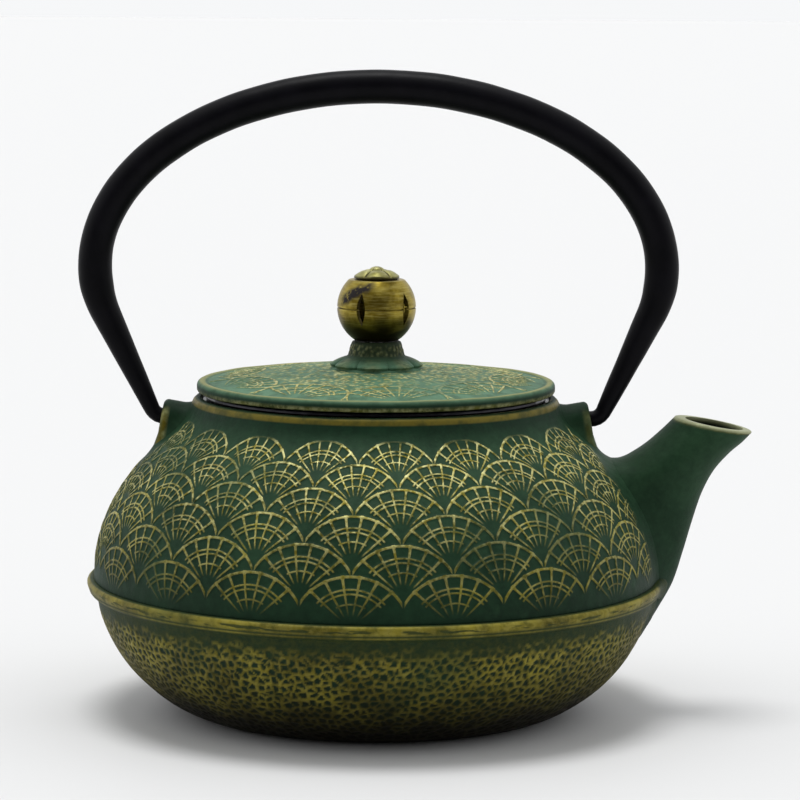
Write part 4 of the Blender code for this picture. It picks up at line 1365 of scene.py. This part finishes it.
# ---- infuser basket
def perforated(point_at):
    """Round the basket, square cells with a hole in each. point_at(u, v, depth) places a point."""
    turn = np.linspace(0.0, 2 * np.pi, HOLE_SIDES, endpoint=False) + np.pi / HOLE_SIDES
    circle = np.stack([np.cos(turn), np.sin(turn)], 1) * HOLE_SIZE
    square = np.array([square_point(angle) for angle in turn]) * 0.5
    faces, points, index = [], [], {}

    def vertex(u, v, depth):
        key = (round(u % BASKET_COLUMNS, 4), round(v, 4), depth)
        if key not in index:
            index[key] = len(points)
            points.append(point_at(u, v, depth))
        return index[key]

    for column, row in np.ndindex(BASKET_COLUMNS, BASKET_ROWS):
        rings = [[vertex(column + 0.5 + x, row + 0.5 + y, depth) for x, y in outline]
                 for outline, depth in ((square, 0), (circle, 0), (circle, 1), (square, 1))]
        for near, far in zip(rings, rings[1:]):
            for i in range(HOLE_SIDES):
                j = (i + 1) % HOLE_SIDES
                faces.append([near[i], near[j], far[j], far[i]])
    return points, faces


def square_point(angle):
    """Where a ray at this angle leaves the square of half size 1."""
    x, y = math.cos(angle), math.sin(angle)
    scale = 1.0 / max(abs(x), abs(y))
    return (x * scale, y * scale)


def build_basket():
    steel = steel_material("brushed_stainless", *STEEL_TONES)
    # Painted shade: the infuser rim, deep in the gap under the lid, gets a much darker steel.
    shaded_steel = steel_material("shaded_stainless", *SHADED_STEEL_TONES)
    low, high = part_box("infuser_wall")
    radius, bottom, top = high.x / MM, low.z / MM, high.z / MM
    pitch = (top - bottom - 2 * BASKET_BORDER) / BASKET_ROWS

    def on_wall(u, v, depth):
        angle = 2 * math.pi * u / BASKET_COLUMNS
        r = radius - BASKET_SHEET * depth
        return (r * math.cos(angle), r * math.sin(angle), bottom + BASKET_BORDER + v * pitch)

    wall = mesh_object("infuser_mesh_wall", *perforated(on_wall), (steel,), None, 35.0)
    borders = []
    for z0, z1 in ((bottom, bottom + BASKET_BORDER), (top - BASKET_BORDER, top)):
        outline = [(radius, z0), (radius, z1), (radius - BASKET_SHEET, z1), (radius - BASKET_SHEET, z0)]
        borders.append(turned("border", outline, BASKET_COLUMNS, True, (steel,)))
    join(wall, borders)
    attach(wall, "infuser")
    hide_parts("infuser_wall")
    for node in CARRIED_NODES:
        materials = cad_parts[node].data.materials
        materials.clear()
        materials.append(shaded_steel if node == "infuser_rim" else steel)


def join(obj, others):
    mesh = bmesh.new()
    for part in (obj, *others):
        mesh.from_mesh(part.data)
    mesh.to_mesh(obj.data)
    mesh.free()
    discard(*others)


# ---- studio
def build_studio():
    """Pale floor and soft lights."""
    mesh = bpy.data.meshes.new("floor")
    corners = [(-1, -1), (1, -1), (1, 1), (-1, 1)]
    mesh.from_pydata([(FLOOR_HALF_SIZE * x, FLOOR_HALF_SIZE * y, 0) for x, y in corners], [], [(0, 1, 2, 3)])
    floor = bpy.data.objects.new("floor", mesh)
    bpy.context.scene.collection.objects.link(floor)
    pale = Shader("pale_floor", 0.1)
    pale.set("Roughness", 0.6)
    pale.set("Base Color", FLOOR_TONE)
    mesh.materials.append(pale.material)
    bpy.context.scene.view_settings.view_transform = "Standard"
    build_surroundings()
    for softbox in SOFTBOXES:
        add_sun(*softbox)


def build_surroundings():
    """White room, dim on the side that the camera stands on."""
    world = bpy.data.worlds.new("studio")
    bpy.context.scene.world = world
    world.use_nodes = True
    tree = world.node_tree
    split = tree.nodes.new("ShaderNodeSeparateXYZ")
    tree.links.new(tree.nodes.new("ShaderNodeTexCoord").outputs["Generated"], split.inputs[0])
    _, y, z = (Num(tree, out) for out in split.outputs)
    bright = ramp(-0.75, 0.25, y + z * 0.5)
    level = bright * (BACK_BRIGHTNESS - FRONT_BRIGHTNESS) + FRONT_BRIGHTNESS
    tree.links.new(level.socket, tree.nodes["Background"].inputs["Strength"])
    tree.nodes["Background"].inputs["Color"].default_value = SKY_TINT


def add_sun(name, towards, spread, strength):
    light = bpy.data.lights.new(name, "SUN")
    light.angle = math.radians(spread)
    light.energy = strength
    obj = bpy.data.objects.new(name, light)
    obj.rotation_euler = Vector(towards).to_track_quat("Z", "Y").to_euler()
    bpy.context.scene.collection.objects.link(obj)


def build_camera():
    """Camera of a long lens in front of the pot, looking a little down and turned slightly clockwise."""
    camera = bpy.data.cameras.new("camera")
    camera.sensor_width = 36.0
    distance = math.hypot(CAMERA_DISTANCE, CAMERA_HEIGHT - AIM_HEIGHT)
    camera.lens = FOCAL_PER_METRE * distance
    camera.clip_end = 40.0
    obj = bpy.data.objects.new("camera", camera)
    obj.location = (AIM_X, -CAMERA_DISTANCE, CAMERA_HEIGHT)
    pitch = math.atan2(CAMERA_HEIGHT - AIM_HEIGHT, CAMERA_DISTANCE)
    tilt = Matrix.Rotation(math.pi / 2 - pitch, 4, "X")
    roll = Matrix.Rotation(math.radians(CAMERA_ROLL), 4, "Z")
    obj.rotation_euler = (tilt @ roll).to_euler()
    bpy.context.scene.collection.objects.link(obj)
    bpy.context.scene.camera = obj


build_pot()
build_bail()
build_lid()
build_knob()
build_basket()
build_studio()
build_camera()
